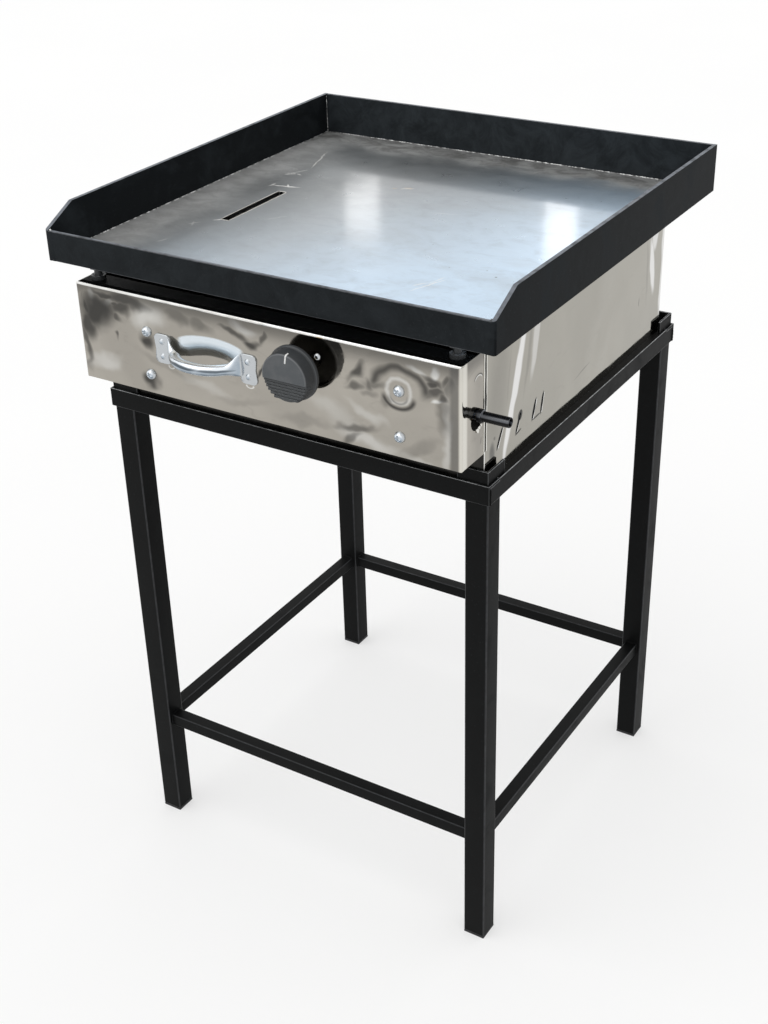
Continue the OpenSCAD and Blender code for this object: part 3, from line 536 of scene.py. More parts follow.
def plate_steel():
    """Bare rolled plate under a film of oil: bluish and bright to the front and right as a painted reflection
    of the sky, and dark along the left and rear rims with the oxide skin of the mill and the painted
    reflection of the rims."""
    f = Finish("plate_steel", (0.5, 0.56, 0.62), metallic=1, roughness=0.25,
               coat_weight=0.8, coat_roughness=0.09)
    left, rear = PLATE_LOW.x * MM, PLATE_HIGH.y * MM
    x, y = f.axis("X"), f.axis("Y")
    ragged = f.times(f.noise(110, 5, rough=0.6, distort=0.5), 0.1)
    to_left = f.math("SUBTRACT", x, f.math("ADD", ragged, left - 0.05))
    to_rear = f.math("SUBTRACT", rear + 0.05, f.math("ADD", ragged, y))
    # Oxide skin of the mill along the left and rear rims, together with the painted dark reflection of the
    # rims
    left_scale_and_reflection = f.spread(to_left, 0.02, 0.12, 1, 0)
    rear_scale_and_reflection = f.spread(to_rear, 0.03, 0.085, 1, 0)
    scale_and_rim_reflection = f.most(f.times(left_scale_and_reflection, 0.9), rear_scale_and_reflection)
    # Painted reflection: dark to the left and rear, bright and bluish to the front and right
    slanted = f.math("SUBTRACT", x, f.times(y, 0.55))
    f.color = f.mix(f.spread(slanted, -0.22, 0.3), (0.222, 0.237, 0.243), (0.555, 0.715, 0.875))
    clouds = f.noise(150, 4, rough=0.6, stretch=(0.6, 1, 1), distort=0.8)
    f.lay(f.spread(clouds, 0.42, 0.75, 0, 0.4), (0.27, 0.29, 0.305))
    mottle = f.noise(24, 6, rough=0.68, stretch=(0.7, 1, 1), distort=0.5)
    f.lay(f.spread(mottle, 0.45, 0.8, 0, 0.3), (0.24, 0.25, 0.26))
    patchy = f.spread(mottle, 0.35, 0.65)
    dark_left = f.mix(patchy, (0.44, 0.445, 0.44), (0.31, 0.31, 0.305))
    dark_rear = f.mix(patchy, (0.345, 0.35, 0.345), (0.15, 0.15, 0.145))
    f.lay(scale_and_rim_reflection, f.mix(rear_scale_and_reflection, dark_left, dark_rear))
    f.lay(f.patches(f.wander(8, 6), "Z", RUST), (0.42, 0.33, 0.22))
    f.lay(f.patches(f.place, "Z", PITS), (0.02, 0.02, 0.02))
    flecks = f.times(f.spread(f.noise(2.4, 2), 0.7, 0.78), f.spread(scale_and_rim_reflection, 0.3, 0.9, 0.05, 0.5))
    worn = f.most(flecks, scratch_marks(f))
    f.lay(worn, (0.86, 0.85, 0.82))
    # Painted shade on the upright walls of the plate and its slot
    shaded_wall = f.spread(f.math("ABSOLUTE", f.facing("Z")), 0.4, 0.7, 1, 0)
    f.lay(shaded_wall, (0.012, 0.012, 0.012))
    dull = f.most(worn, f.times(scale_and_rim_reflection, 0.85), shaded_wall)
    brushed = f.noise(1.6, 3, stretch=(0.08, 1, 1))
    pits = f.bump(f.noise(5, 4, rough=0.7), 0.004)
    f.done(metallic=f.times(f.spread(dull, 0, 1, 0.8, 0.05), f.along("Y", 60, 190, 1, 0.8)),
           roughness=f.math("ADD", f.spread(mottle, 0.3, 0.7, 0.27, 0.36), f.times(scale_and_rim_reflection, 0.1)),
           coat_weight=f.along("X", -170, -70, 0.15, 0.8),
           coat_normal=f.bump(f.noise(15, 4, rough=0.6, stretch=(0.6, 1, 1)), 0.08),
           normal=f.bump(brushed, 0.02, below=pits))


def knob_plastic():
    f = Finish("knob_plastic", (0.078, 0.085, 0.091), roughness=0.46, specular_ior_level=0.45)
    bloom = f.spread(f.noise(14, 4), 0.4, 0.75)
    f.color = f.mix(bloom, (0.076, 0.084, 0.091), (0.106, 0.112, 0.118))
    edge, chord = FACE_R - 0.7, KNOB_Z + CHORD
    # Painted highlight along the rounded edge of the face
    rounded = f.ring(f.place, "Y", (KNOB_X, KNOB_Z), (edge, edge), 0.05, 0.75)
    f.lay(f.times(rounded, f.along("Z", chord, chord + 2)), (0.21, 0.22, 0.23))
    # Painted shade on the knob's sides and rear
    f.lay(f.spread(f.facing("Y"), -0.85, -0.4), (0.034, 0.037, 0.040))
    # Ribbed lower part darkened as painted shade, with painted highlights on the tops of its ribs
    ribs = f.times(f.along("Z", chord - 0.9, chord - 0.3, 1, 0),
                   f.along("Y", KNOB_FRONT + 6, KNOB_FRONT + 9, 1, 0))
    f.lay(f.times(ribs, 0.85), (0.036, 0.039, 0.042))
    f.lay(f.times(ribs, f.spread(f.facing("Z"), 0.35, 0.7)), (0.21, 0.22, 0.225))
    f.done(roughness=f.spread(bloom, 0, 1, 0.42, 0.54), normal=f.bump(f.noise(0.6, 2), 0.02))


def inlet_black():
    f = Finish("inlet_black", (0.006, 0.006, 0.007), roughness=0.2, specular_ior_level=0.5)
    facing = f.facing("Z")
    # Painted highlight: a lighter, shinier band along the upper flank of the pipe
    above = f.times(f.spread(facing, 0.05, 0.35), f.spread(facing, 0.55, 0.85, 1, 0))
    f.lay(f.times(above, 0.8), (0.085, 0.095, 0.115))
    f.done(specular_ior_level=f.spread(above, 0, 1, 0.12, 1),
           roughness=f.spread(f.noise(9, 4), 0.35, 0.7, 0.15, 0.34),
           normal=f.bump(f.noise(8, 3), 0.12))


def burner_steel():
    f = Finish("burner_steel", (0.34, 0.32, 0.29), metallic=1, roughness=0.34)
    tint = f.noise(55, 3, distort=0.7)
    f.color = f.mix(f.spread(tint, 0.35, 0.55), (0.36, 0.33, 0.29), (0.3, 0.21, 0.14))
    f.lay(f.spread(tint, 0.58, 0.72), (0.13, 0.15, 0.22))
    f.done()


def make_materials():
    black_paint("black_paint")
    # Rim paint: painted sheen on the upper faces, painted light on the faces to the front
    black_paint("rim_paint", base=(0.0085, 0.0100, 0.0112), dust=0.6, shine=0.045, rough=0.46,
                top=(0.2, 0.215, 0.24), front_light_gain=1.95, rear_light_gain=3.1)
    # Bevel finishes, lighter than their faces: partly wear, partly painted highlight; bar_edge and dull_zinc
    # are light only on top, with painted shade on their sides
    worn_lit_edge("worn_lit_edge", (0.085, 0.092, 0.102))
    worn_lit_edge("frame_edge", (0.022, 0.024, 0.027))
    worn_lit_edge("bar_edge", (0.42, 0.43, 0.44), sides=(0.03, 0.032, 0.034))
    worn_lit_edge("dull_zinc", (0.4, 0.41, 0.42), sides=(0.05, 0.053, 0.056))
    cap_black = (0.010, 0.010, 0.011)
    two_tone("end_cap", cap_black, (cap_black, (0.05, 0.05, 0.05)), 6, 0.5, 0.8, roughness=0.6)
    two_tone("bare_weld", (0.55, 0.56, 0.58), ((0.1, 0.1, 0.1), (0.78, 0.78, 0.77)), 6, 0.42, 0.6,
             rough=0.7, metallic=0.9, roughness=0.32)
    two_tone("pointer_white", (0.8, 0.8, 0.78), ((0.84, 0.84, 0.82), (0.45, 0.45, 0.45)), 2, 0.55, 0.8)
    two_tone("brass", (0.62, 0.45, 0.2), ((0.66, 0.48, 0.22), (0.34, 0.23, 0.1)), 8, 0.4, 0.75,
             metallic=1, roughness=0.3)
    polished_sheet("stainless").done()
    stainless_lit_edge("stainless_lit_edge", (0.74, 0.73, 0.7), (0.95, 0.95, 0.94))
    stainless_lit_edge("seam_lit_edge", (0.5, 0.49, 0.45), (0.72, 0.71, 0.67))
    inner_sheet("inner_sheet", (0.24, 0.235, 0.22), (0.06, 0.056, 0.05))
    # Front wall inside the housing: painted shade
    inner_sheet("shaded_inner_sheet", (0.035, 0.034, 0.032), (0.012, 0.012, 0.011))
    for finish in (front_panel, housing_side, zinc, plate_steel, knob_plastic, inlet_black, burner_steel):
        finish()


# Finish of the CAD nodes, by the start of their names, where it isn't that of the slot
PAINTS = {"rim_": "rim_paint", "front_box": "front_panel", "griddle_f": "dull_zinc",
          "housing_front_wall": "shaded_inner_sheet", "housing_side": "housing_side", "housing_rear": "housing_side"}
# Nodes with bevelled edges: bevel width and the finish of the bevel
EDGES = {"rim_": (0.9, "worn_lit_edge"), "leg_front": (1.6, "frame_edge"), "leg_rear": (1.6, "frame_edge"),
         "leg_end_caps": (0.8, "end_cap"), "stretcher": (1.2, "frame_edge"), "frame_bar": (0.8, "bar_edge"),
         "guide": (0.8, "bar_edge"), "griddle_plate": (0.8, "bare_weld"),
         "housing_side": (0.4, "stainless_lit_edge"), "gas_inlet": (0.9, "inlet_black")}
BEVEL_ANGLE = 40


def by_start(table, name, otherwise=None):
    return next((row for start, row in table.items() if name.startswith(start)), otherwise)


def soften(obj, width, edge):
    """Welds the imported faces, rounds the sharp edges and gives the rounds their own finish."""
    weld = obj.modifiers.new("weld", "WELD")
    weld.merge_threshold = 1e-6
    bevel = obj.modifiers.new("bevel", "BEVEL")
    bevel.width = width * MM
    bevel.segments = 2
    bevel.limit_method = "ANGLE"
    bevel.angle_limit = radians(BEVEL_ANGLE)
    obj.data.materials.append(MATERIALS[edge])
    bevel.material = len(obj.data.materials) - 1
    obj.modifiers.new("normals", "WEIGHTED_NORMAL")


def finish_nodes():
    slots = {row["node"]: row["material_slot"] for row in frame["record"]["subparts"]}
    for name, obj in frame["nodes"].items():
        material = MATERIALS[by_start(PAINTS, name, slots[name])]
        for index in range(len(obj.data.materials)):
            obj.data.materials[index] = material
        if by_start(EDGES, name):
            soften(obj, *by_start(EDGES, name))


# Meshes


def circle(center, radius, y, count):
    """Ring of points round center (x, z) at depth y."""
    angles = [2 * pi * i / count for i in range(count)]
    return [(center[0] + radius * cos(a), y, center[1] + radius * sin(a)) for a in angles]


class Shape:
    """Points and faces of one piece, in millimetres, put together from skins over rings of points."""

    def __init__(self):
        self.points = []
        self.faces = []

    def loft(self, rings):
        """A closed skin over rings that have equally many points each."""
        start, count = len(self.points), len(rings[0])
        for ring in rings:
            self.points.extend(ring)
        for row in range(len(rings) - 1):
            for j in range(count):
                a, b = start + row * count, start + (row + 1) * count
                k = (j + 1) % count
                self.faces.append((a + j, a + k, b + k, b + j))
        last = start + (len(rings) - 1) * count
        self.faces.append(tuple(range(start, start + count))[::-1])
        self.faces.append(tuple(range(last, last + count)))
        return self


def add_piece(name, shape, material, body, sharp=60, replaces=()):
    """Makes the object; its edges stay sharp where they are sharper than that angle."""
    mesh = bpy.data.meshes.new(name)
    mesh.from_pydata([Vector(p) * MM for p in shape.points], [], shape.faces)
    work = bmesh.new()
    work.from_mesh(mesh)
    bmesh.ops.remove_doubles(work, verts=work.verts, dist=2e-6)
    bmesh.ops.recalc_face_normals(work, faces=work.faces)
    work.to_mesh(mesh)
    work.free()
    mesh.materials.append(MATERIALS[material])
    mesh.shade_smooth()
    mesh.set_sharp_from_angle(angle=radians(sharp))
    piece = add_object(name, mesh)
    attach(piece, body)
    if replaces:
        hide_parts(*replaces)


def smooth_step(value, low, high):
    t = min(1, max(0, (value - low) / (high - low)))
    return t * t * (3 - 2 * t)


# Knob: a tapered body with a base flange, a flat upper half and a ribbed lower part

STEP = 3.8
# Outline of the turned body: radius and y
KNOB_PROFILE = [(0.001, KNOB_FRONT + STEP), (FACE_R - 1.4, KNOB_FRONT + STEP),
                (FACE_R - 0.2, KNOB_FRONT + STEP + 1)]
KNOB_PROFILE += [(radius, KNOB_REAR - inward) for radius, inward in (
    (KNOB_R - 1.4, 5), (KNOB_R - 0.6, 4.2), (KNOB_R, 3.4), (KNOB_R, 0.6), (KNOB_R - 0.6, 0), (KNOB_R - 3, 0),
    (KNOB_R - 3.4, 8), (8, 8), (8, 0), (4.2, 0), (4.2, 10), (0.001, 10))]
# Outline of its flat upper part: radius, y and lean
FACE_PROFILE = [(FACE_R - 1.5, KNOB_FRONT, 1), (FACE_R - 0.2, KNOB_FRONT + 1.1, 0.2),
                (FACE_R + 0.1, KNOB_FRONT + 2, 0), (KNOB_R - 1.5, KNOB_REAR - 5.2, 0)]
KNOB_COUNT, FACE_COUNT = 96, 40
RIB_PITCH = 3.78
POINTER_ANGLE = 81
# Places along the tick: radius, depth behind the face, half width
POINTER_STOPS = [(19.4, 0, 0.7), (20.2, 0, 1.05), (FACE_R - 1.6, 0, 1), (FACE_R - 0.1, 1.1, 1),
                 (FACE_R + 0.5, 4.6, 0.95), (FACE_R + 0.6, 5.6, 0.6)]
# Its section: share of the half width across, share of the lift off the surface
POINTER_SECTION = ((1, 0), (0.7, 1), (-0.7, 1), (-1, 0), (0, -2))


def half_disc(radius, y, lean):
    """Ring at depth y round the part of a disc above the chord, which lean moves up."""
    start = asin((CHORD + lean) / radius)
    angles = [start + (pi - 2 * start) * i / FACE_COUNT for i in range(FACE_COUNT + 1)]
    return [(KNOB_X + radius * cos(a), y, KNOB_Z + radius * sin(a)) for a in angles]


def add_knob():
    shape = Shape()
    shape.loft([circle((KNOB_X, KNOB_Z), radius, y, KNOB_COUNT) for radius, y in KNOB_PROFILE])
    shape.loft([half_disc(*row) for row in FACE_PROFILE])
    level = CHORD - 1.6
    while level > -FACE_R + 1.5:
        shape.loft(rib_rings(level))
        level -= RIB_PITCH
    add_piece("knob_body", shape, "knob_plastic", "control_knob", 40, ("knob",))


def rib_rings(level):
    """Rings along one rib, which crosses the lower part and runs back along its sides."""
    reach = sqrt(max((FACE_R + 0.3) ** 2 - level ** 2, 1))
    front = KNOB_FRONT + 1.9
    path = [(-reach - 0.9, KNOB_REAR - 6), (-reach, front + 1.6), (-reach + 1.4, front),
            (reach - 1.4, front), (reach, front + 1.6), (reach + 0.9, KNOB_REAR - 6)]
    rings = []
    for index, (x, y) in enumerate(path):
        inward = 2.6 if x < 0 else -2.6
        dx, dy = (inward, 1.2) if index in (0, 1, 4, 5) else (0.4 * inward, 2.6)
        corners = ((0, 0, 1.05), (0, 0, -1.15), (dx, dy, -1.45), (dx, dy, 1.35))
        rings.append([(KNOB_X + x + u, y + v, KNOB_Z + level + w) for u, v, w in corners])
    return rings


def add_pointer():
    """White tick that starts on the face and runs over its edge onto the side."""
    angle = radians(POINTER_ANGLE)
    outward = Vector((cos(angle), 0, sin(angle)))
    across = Vector((sin(angle), 0, -cos(angle)))
    center = Vector((KNOB_X, 0, KNOB_Z))
    rings = []
    for radius, back, half in POINTER_STOPS:
        on = center + outward * radius + Vector((0, KNOB_FRONT + back, 0))
        lift = Vector((0, -0.18, 0)) if radius < FACE_R - 1 else outward * 0.2 + Vector((0, -0.12, 0))
        rings.append([on + across * half * share + lift * up for share, up in POINTER_SECTION])
    add_piece("knob_pointer", Shape().loft(rings), "pointer_white", "control_knob")


# Handle: pressed from one strip, with a channel-shaped bow that widens into its two plates

HANDLE_X = (HANDLE_LOW.x + HANDLE_HIGH.x) / 2
HANDLE_Z = (HANDLE_LOW.z + HANDLE_HIGH.z) / 2
HANDLE_OUT = PANEL_Y - HANDLE_LOW.y
PLATE_W = 24
PLATE_H = HANDLE_HIGH.z - HANDLE_LOW.z
HANDLE_T = 2
PLATE_AT = (HANDLE_HIGH.x - HANDLE_LOW.x - PLATE_W) / 2
# Rounded edges of the plates: inset and distance from the panel
PLATE_LEVELS = ((0.3, 0), (0, 0.4), (0, HANDLE_T - 0.7), (0.7, HANDLE_T))
BOW_POWER = 2.5
BOW_SECTIONS, BOW_STEPS = 56, 13


def bow_section(share):
    """Ring of the bow at share from -1 to 1 of its length; it flattens towards its ends."""
    half_span = PLATE_AT - PLATE_W / 2 + 3
    rise = HANDLE_OUT - HANDLE_T - 0.2
    x = half_span * share
    out = HANDLE_T + rise * (1 - abs(share) ** BOW_POWER)
    slope = -rise * BOW_POWER * abs(share) ** (BOW_POWER - 1) * copysign(1, share) / half_span
    outward = Vector((-slope, -1, 0)).normalized()
    flare = smooth_step(abs(share), 0.74, 1)
    above, below = 6.6 + 13 * flare ** 1.8, 6.6 + 2 * flare ** 1.8
    depth = 7 * (1 - flare) + 0.6
    rear_depth = 5.5 * (1 - flare) + 0.9
    center = Vector((HANDLE_X + x, PANEL_Y - out, HANDLE_Z - 1.5))
    outer, inner = [], []
    for i in range(BOW_STEPS):
        turn = pi * (i / (BOW_STEPS - 1) - 0.5)
        up = copysign(abs(sin(turn)) ** 0.8, turn)
        back = 1 - abs(cos(turn)) ** 0.8
        half = above if up > 0 else below
        behind = depth + rear_depth * (1 - back) + 0.1
        outer.append(center - outward * depth * back + Vector((0, 0, half * up)))
        inner.append(center - outward * behind + Vector((0, 0, (half - 0.15) * up)))
    return outer + inner[::-1]


def plate_ring(center_x, inset, y):
    """Rounded plate outline, pinched a little at the middle of its height."""
    half_w, half_h, corner = PLATE_W / 2 - inset, PLATE_H / 2 - inset, 6.5 - inset
    ring = []
    for sx, sz, first in ((1, 1, 0), (-1, 1, 90), (-1, -1, 180), (1, -1, 270)):
        for i in range(7):
            a = radians(first + 15 * i)
            ring.append((sx * (half_w - corner) + corner * cos(a), sz * (half_h - corner) + corner * sin(a)))
        if first in (90, 270):
            ring.append((sx * (half_w - 1.6), 0))
    return [(center_x + x, y, HANDLE_Z + z) for x, z in ring]


def add_handle():
    shape = Shape()
    shape.loft([bow_section(-1 + 2 * i / BOW_SECTIONS) for i in range(BOW_SECTIONS + 1)])
    for side in (-1, 1):
        x = HANDLE_X + side * PLATE_AT
        shape.loft([plate_ring(x, inset, PANEL_Y - out) for inset, out in PLATE_LEVELS])
    add_piece("handle_pressed", shape, "zinc", "housing", sharp=50, replaces=("handle",))


# Edges of the box and of the housing

HEM_H = 2.7
HEM_OUT = 0.9
BEND_W = 9
SEAM_R = 0.8
SEAM_LINES = (-237.2, -231.8)
SEAM_GAP = -234.5


def hem_ring(x):
    """Section of the folded hem: a flattened tube over the top edge of the panel."""
    profile = [(-0.02, -HEM_H), (-0.6 * HEM_OUT, 0.7 - HEM_H), (-HEM_OUT, -HEM_H / 2), (-0.7 * HEM_OUT, -0.7),
               (0.2, 0.5), (1.2, 0.4), (2.1, -0.7), (2.3, -HEM_H / 2), (1.2, -HEM_H)]
    return [(x, PANEL_Y + y, HOUSE_TOP + z) for y, z in profile]


def bend_ring(side, z):
    """Section of a corner bend, which rises gently off both faces and rolls over the corner."""
    profile = [(-BEND_W, -0.02), (-0.6 * BEND_W, -0.3), (-0.3 * BEND_W, -0.5), (-0.9, -0.45), (-0.1, -0.1),
               (0.35, 0.8), (0.5, 0.3 * BEND_W), (0.3, 0.6 * BEND_W), (0.02, BEND_W), (-0.8, BEND_W),
               (-0.8, 0.8), (-BEND_W, 0.8)]
    return [(side * (HOUSE_X + x), PANEL_Y + y, z) for x, y in profile]


def add_box_edges():
    stops = [-HOUSE_X + 0.3, -HOUSE_X + 2, 0, HOUSE_X - 2, HOUSE_X - 0.3]
    hem = Shape().loft([hem_ring(x) for x in stops])
    add_piece("panel_hem", hem, "stainless_lit_edge", "housing", sharp=50)
    bends = Shape()
    for side in (-1, 1):
        bends.loft([bend_ring(side, z) for z in (PANEL_LOW.z + 0.2, HOUSE_TOP - 1)])
    add_piece("panel_bends", bends, "front_panel", "housing")


def add_side_seams():
    """Bright upright lines, painted highlights, where the sides of the front box end on the housing."""
    def upright(y, out):
        return [[(side * (HOUSE_X + out), y, PANEL_LOW.z + 1), (side * (HOUSE_X + out), y, HOUSE_TOP - 1)]
                for side in (-1, 1)]
    lines = [path for y in SEAM_LINES for path in upright(y, 0.2)]
    add_beads("side_seams", lines, SEAM_R, "housing", "seam_lit_edge", ripple=0)
    gaps = upright(SEAM_GAP, -0.5)
    add_beads("side_seam_gaps", gaps, 1.3, "housing", "black_paint", ripple=0)


INLET_HOLE = (-254, 784)
TONGUE_T = 0.7
# Torn tongues of that hole: their roots from its centre, how far they drop, width and lift
TONGUES = [(1, -11.8, 5, 6, 1.2), (5, -10.6, 3, 5, 0.9), (9, -9.1, 3, 3, 0.9), (12.5, 6, 5, 2, 1.2)]


def tongue_rings(y, z, drop, width, lift):
    """A small tongue of the sheet, torn at the inlet hole and bent out over drop."""
    rings = []
    for share, half in ((0, 0.5), (0.35, 0.46), (0.7, 0.34), (1, 0.1)):
        x, h = HOUSE_X - 0.3 + lift * sin(share * pi / 2), half * width
        corners = ((0, -h), (0, h), (TONGUE_T, h), (TONGUE_T, -h))
        rings.append([(x + back, y + across, z - drop * share) for back, across in corners])
    return rings


def add_hole_burrs():
    """Burrs where the inlet hole was torn rather than drilled, bright as a painted highlight."""
    shape = Shape()
    for aside, up, drop, width, lift in TONGUES:
        shape.loft(tongue_rings(INLET_HOLE[0] + aside, INLET_HOLE[1] + up, drop, width, lift))
    add_piece("inlet_hole_burrs", shape, "seam_lit_edge", "housing")


# Front screws: domed heads with a cross recess

SCREW_HEAD_D = 14.2
SCREW_HEAD_H = 5.6
SCREW_D = 5.0
RECESS_HALF, RECESS_REACH, RECESS_DEPTH = 1.25, 3.6, 2.2


def screw_places():
    low, high = box_mm("front_screws")
    half = SCREW_HEAD_D / 2
    return [(x, z) for x in (low.x + half, high.x - half) for z in (low.z + half, high.z - half)]


def screw_head(shape, x, z, turn):
    """Dome sunk by a cross-shaped recess, with the shank behind it."""
    radius = (SCREW_HEAD_D ** 2 / 4 + SCREW_HEAD_H ** 2) / (2 * SCREW_HEAD_H)
    rows, count = 12, 48
    tip = box_mm("front_screws")[1].y
    rings = [circle((x, z), SCREW_D / 2, y, count) for y in (tip, PANEL_Y + 0.5)]
    for row in range(rows + 1):
        r = SCREW_HEAD_D / 2 * sin(pi / 2 * (1 - row / rows)) + 0.001
        dome = sqrt(radius ** 2 - r ** 2) - radius + SCREW_HEAD_H
        ring = []
        for i in range(count):
            a = 2 * pi * i / count
            u, v = abs(r * cos(a - turn)), abs(r * sin(a - turn))
            arm = max(smooth_step(RECESS_HALF - side, 0, 0.5) * smooth_step(RECESS_REACH - out, 0, 0.8)
                      for side, out in ((u, v), (v, u)))
            ring.append((x + r * cos(a), PANEL_Y - dome + RECESS_DEPTH * arm, z + r * sin(a)))
        rings.append(ring)
    shape.loft(rings)


def add_screws():
    shape = Shape()
    for index, (x, z) in enumerate(screw_places()):
        screw_head(shape, x, z, 0.4 + 0.7 * index)
    add_piece("front_screw_heads", shape, "zinc", "housing", sharp=50, replaces=("front_screws",))


# Welds

BEAD_COUNT = 10
BEAD_PITCH = 4.5
RIPPLE = 0.16


def bead_rings(path, radius, ripple):
    """Rings of a weld bead along straight stretches, rippled as the weld pool sets."""
    points = [Vector(p) for p in path]
    rings = []
    for a, b in zip(points, points[1:]):
        length = (b - a).length
        along = (b - a) / length
        side = along.orthogonal().normalized()
        up = along.cross(side)
        steps = max(4, int(length / 1.6))
        for i in range(steps + 1):
            at = a + along * length * i / steps
            phase = (at - points[0]).length / BEAD_PITCH
            wobble = 1 + ripple * sin(2 * pi * phase) + 0.25 * noise.noise(at * 0.11)
            ends = smooth_step(min(i, steps - i) / steps * length, -0.8, 2)
            r = radius * wobble * (0.35 + 0.65 * ends)
            rings.append([at + side * r * cos(2 * pi * k / BEAD_COUNT)
                          + up * r * sin(2 * pi * k / BEAD_COUNT) for k in range(BEAD_COUNT)])
    return rings


def add_beads(name, paths, radius, body, material, ripple=RIPPLE):
    shape = Shape()
    for path in paths:
        shape.loft(bead_rings(path, radius, ripple))
    add_piece(name, shape, material, body)


def stretcher_ends():
    """Short beads where each stretcher meets its two legs: over the top, outer and inner side."""
    paths = []
    for name, runs in (("front", 0), ("rear", 0), ("left", 1), ("right", 1)):
        low, high = box_mm("stretcher_" + name)
        for end in (low[runs], high[runs]):
            sides = [(side, end) if runs else (end, side) for side in (low[1 - runs], high[1 - runs])]
            paths.append([(*side, high.z) for side in sides])
            paths += [[(*side, low.z), (*side, high.z)] for side in sides]
    return paths


def leg_tops():
    """Beads where each leg meets the angles of the top frame, on the two inner sides."""
    paths = []
    under = box_mm("frame_bar_front")[0].z
    for name in ("leg_front_left", "leg_front_right", "leg_rear_left", "leg_rear_right"):
        low, high = box_mm(name)
        inner_x, outer_x = (high.x, low.x) if low.x < 0 else (low.x, high.x)
        inner_y, outer_y = (high.y, low.y) if low.y < 0 else (low.y, high.y)
        paths += [
            [(inner_x, low.y + 4, high.z), (inner_x, high.y - 4, high.z)],
            [(low.x + 4, inner_y, high.z), (high.x - 4, inner_y, high.z)],
            [(inner_x, outer_y, under), (inner_x + (outer_x - inner_x) * 0.9, outer_y, under)],
            [(outer_x, inner_y, under), (outer_x, inner_y + (outer_y - inner_y) * 0.9, under)]]
    return paths


def frame_corners():
    """Beads along the joints of the top frame: up each corner and under each guide."""
    front_low, front_high = box_mm("frame_bar_front")
    rear_low, rear_high = box_mm("frame_bar_rear")
    paths = []
    for x in (front_low.x, front_high.x):
        side = copysign(1, x)
        for y in (front_high.y - 22, rear_low.y + 22):
            paths.append([(x, y, front_low.z), (x, y, front_high.z - 4)])
        for y in (front_low.y + 3, rear_high.y - 3):
            paths.append([(x - 9 * side, y, front_high.z), (x - 37 * side, y, front_high.z)])
    return paths


CORNER_W = 12
CORNER_R = 3.6


def corner_ring(side, z, swell):
    """Section of a ground weld over a rounded front corner of the rims, flush with their outer side."""
    x_out, y_out = PLATE_HIGH.x + RIM_T, PLATE_LOW.y - RIM_T
    profile = [(-CORNER_W, 0.05), (-0.8 * CORNER_W, -0.3 * swell), (-0.55 * CORNER_W, -0.45 * swell)]
    for step in range(6):
        turn = pi / 2 * step / 5
        profile.append((-CORNER_R + (CORNER_R - 0.05) * sin(turn),
                        CORNER_R - (CORNER_R + 0.35 * swell) * cos(turn)))
    profile += [(-0.05, CORNER_R + 2), (-1.5, CORNER_R + 2), (-1.5, CORNER_R), (-CORNER_R, 1.5),
                (-CORNER_W, 1)]
    return [(side * (x_out + x), y_out + y, z) for x, y in profile]


def add_rim_corners():
    """Ground welds over the front corners of the rims, each with a bare spot on top."""
    welds, spots = Shape(), Shape()
    low, high = box_mm("rim_front")
    levels = ((low.z + 0.3, 0.6), (low.z + 5, 1), (high.z - 6, 1), (high.z - 0.6, 0.7))
    for side in (-1, 1):
        welds.loft([corner_ring(side, z, swell) for z, swell in levels])
        x, y = side * (PLATE_HIGH.x + RIM_T * 0.4), PLATE_LOW.y - RIM_T * 0.3
        path = [(x - 4.5 * side, y - 1, high.z - 0.4), (x + side, y + 3, high.z + 0.2)]
        spots.loft(bead_rings(path, 1.5, 0.3))
    add_piece("rim_corner_welds", welds, "rim_paint", "griddle")
    add_piece("rim_corner_spots", spots, "bare_weld", "griddle")


def rim_seams():
    """Inside corners of the rims, from the plate up."""
    corners = ((PLATE_HIGH.y, box_mm("rim_rear")[1].z), (PLATE_LOW.y, box_mm("rim_front")[1].z))
    return [[(x, y, PLATE_HIGH.z), (x, y, top - 2)]
            for x in (PLATE_LOW.x, PLATE_HIGH.x) for y, top in corners]


def plate_seams():
    """Thin seams between the plate and the rims, which stay bright where the paint ends."""
    z = PLATE_HIGH.z
    left, right, front, rear = PLATE_LOW.x, PLATE_HIGH.x, PLATE_LOW.y, PLATE_HIGH.y
    return [[(left, front, z), (left, rear, z)], [(left, rear, z), (right, rear, z)],
            [(right, front, z), (right, rear, z)]]


# Grease slot, as cut in the plate: low and high corner
SLOT_LOW, SLOT_HIGH = (-200, -83), (-187, 47)


def slot_edge():
    """Burr round the upper edge of the grease slot, bright as a painted highlight."""
    (x0, y0), (x1, y1) = SLOT_LOW, SLOT_HIGH
    corners = [(x0, y0), (x1, y0), (x1, y1), (x0, y1), (x0, y0)]
    z = PLATE_HIGH.z - 0.1
    return [[(*a, z), (*b, z)] for a, b in zip(corners, corners[1:])]


def add_welds():
    stand = (("stretcher", stretcher_ends(), 1.7), ("leg_top", leg_tops(), 1.6),
             ("frame_corner", frame_corners(), 1.3))
    for name, paths, radius in stand:
        add_beads(name + "_welds", paths, radius, "stand", "black_paint")
    add_rim_corners()
    add_beads("rim_corner_seams", rim_seams(), 0.9, "griddle", "bare_weld")
    add_beads("plate_seams", plate_seams(), 0.75, "griddle", "bare_weld", ripple=0.5)
    add_beads("slot_burr", slot_edge(), 0.55, "griddle", "seam_lit_edge", ripple=0.1)


# Stage

FLOOR_HALF = 14.0
BACKGROUND = 1.0
FILL = 0.95
FLOOR_GLOW = 0.5
SUN = 0.45
SUN_WIDTH = 50
SUN_TILT = (28, -22, 0)
# Two small windows behind the object, whose reflections lie on the plate: place, target, size, radiance
WINDOWS = [
    ("window_left", (-1.631, 2.467, 1.809), (-0.081, 0.070, 0.886), (0.11, 0.24), 2.35),
    ("window_right", (-1.000, 2.649, 1.867), (0.202, 0.082, 0.886), (0.1, 0.24), 3)]


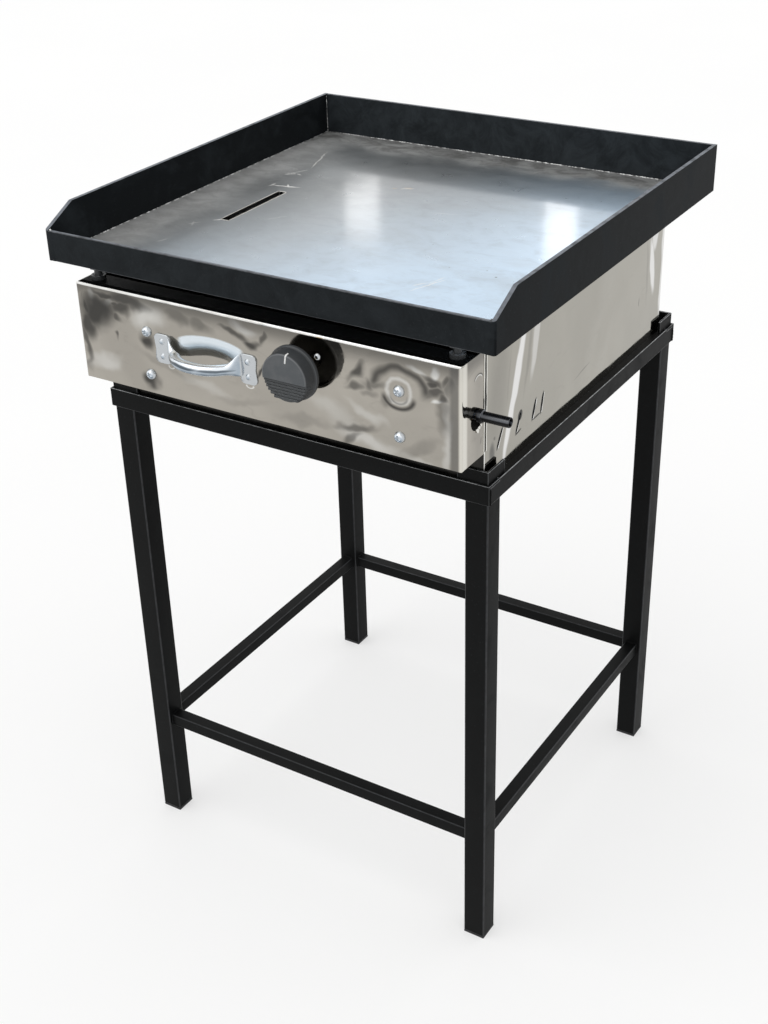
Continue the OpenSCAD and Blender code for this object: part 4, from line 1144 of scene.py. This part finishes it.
def see_background(tree, seen, hidden):
    """Share of rays that should see the white background: the camera's, and those in metal or glass."""
    path = tree.nodes.new("ShaderNodeLightPath")
    share = path.outputs["Is Camera Ray"]
    for kind in ("Is Glossy Ray", "Is Transmission Ray"):
        either = tree.nodes.new("ShaderNodeMath")
        either.operation = "MAXIMUM"
        tree.links.new(share, either.inputs[0])
        tree.links.new(path.outputs[kind], either.inputs[1])
        share = either.outputs[0]
    level = tree.nodes.new("ShaderNodeMapRange")
    level.inputs["To Min"].default_value = hidden
    level.inputs["To Max"].default_value = seen
    tree.links.new(share, level.inputs["Value"])
    return level.outputs["Result"]


def add_floor():
    mesh = bpy.data.meshes.new("floor")
    h = FLOOR_HALF
    mesh.from_pydata([(-h, -h, 0), (h, -h, 0), (h, h, 0), (-h, h, 0)], [], [(0, 1, 2, 3)])
    paper = Finish("floor_paper", (0.93, 0.93, 0.925), roughness=0.9, specular_ior_level=0.1)
    tone = paper.spread(paper.noise(900, 2), 0.3, 0.7)
    paper.set(base_color=paper.mix(tone, (0.925, 0.925, 0.92), (0.94, 0.94, 0.935)))
    glow = paper.node("Emission", {"Strength": see_background(paper.tree, BACKGROUND, 0)})
    mixed = paper.node("MixShader", {0: FLOOR_GLOW, 1: paper.shader.outputs[0], 2: glow})
    paper.put(paper.tree.nodes["Material Output"].inputs["Surface"], mixed)
    mesh.materials.append(paper.material)
    add_object("floor", mesh)


def add_world():
    world = bpy.data.worlds.new("world")
    scene.world = world
    world.use_nodes = True
    back = world.node_tree.nodes["Background"]
    back.inputs["Color"].default_value = (1, 1, 1, 1)
    world.node_tree.links.new(see_background(world.node_tree, BACKGROUND, FILL), back.inputs["Strength"])


def add_window(name, place, target, size, radiance):
    data = bpy.data.lights.new(name, "AREA")
    data.shape = "RECTANGLE"
    data.size, data.size_y = size
    data.energy = radiance * pi * size[0] * size[1]
    lamp = add_object(name, data)
    lamp.visible_camera = False
    toward = Vector(target) - Vector(place)
    turn = toward.to_track_quat("-Z", "Y").to_matrix().to_4x4()
    lamp.matrix_world = Matrix.Translation(Vector(place)) @ turn


def add_sun():
    """Wide soft sun that evens out the floor and lays a faint shadow."""
    data = bpy.data.lights.new("sun", "SUN")
    data.angle = radians(SUN_WIDTH)
    data.energy = SUN
    add_object("sun", data).rotation_euler = [radians(a) for a in SUN_TILT]


def add_stage():
    add_floor()
    add_world()
    add_sun()
    for window in WINDOWS:
        add_window(*window)


add_camera()
make_materials()
finish_nodes()
add_knob()
add_pointer()
add_handle()
add_box_edges()
add_side_seams()
add_hole_burrs()
add_screws()
add_welds()
add_stage()

bpy.context.view_layer.update()

scene.view_settings.view_transform = "Standard"
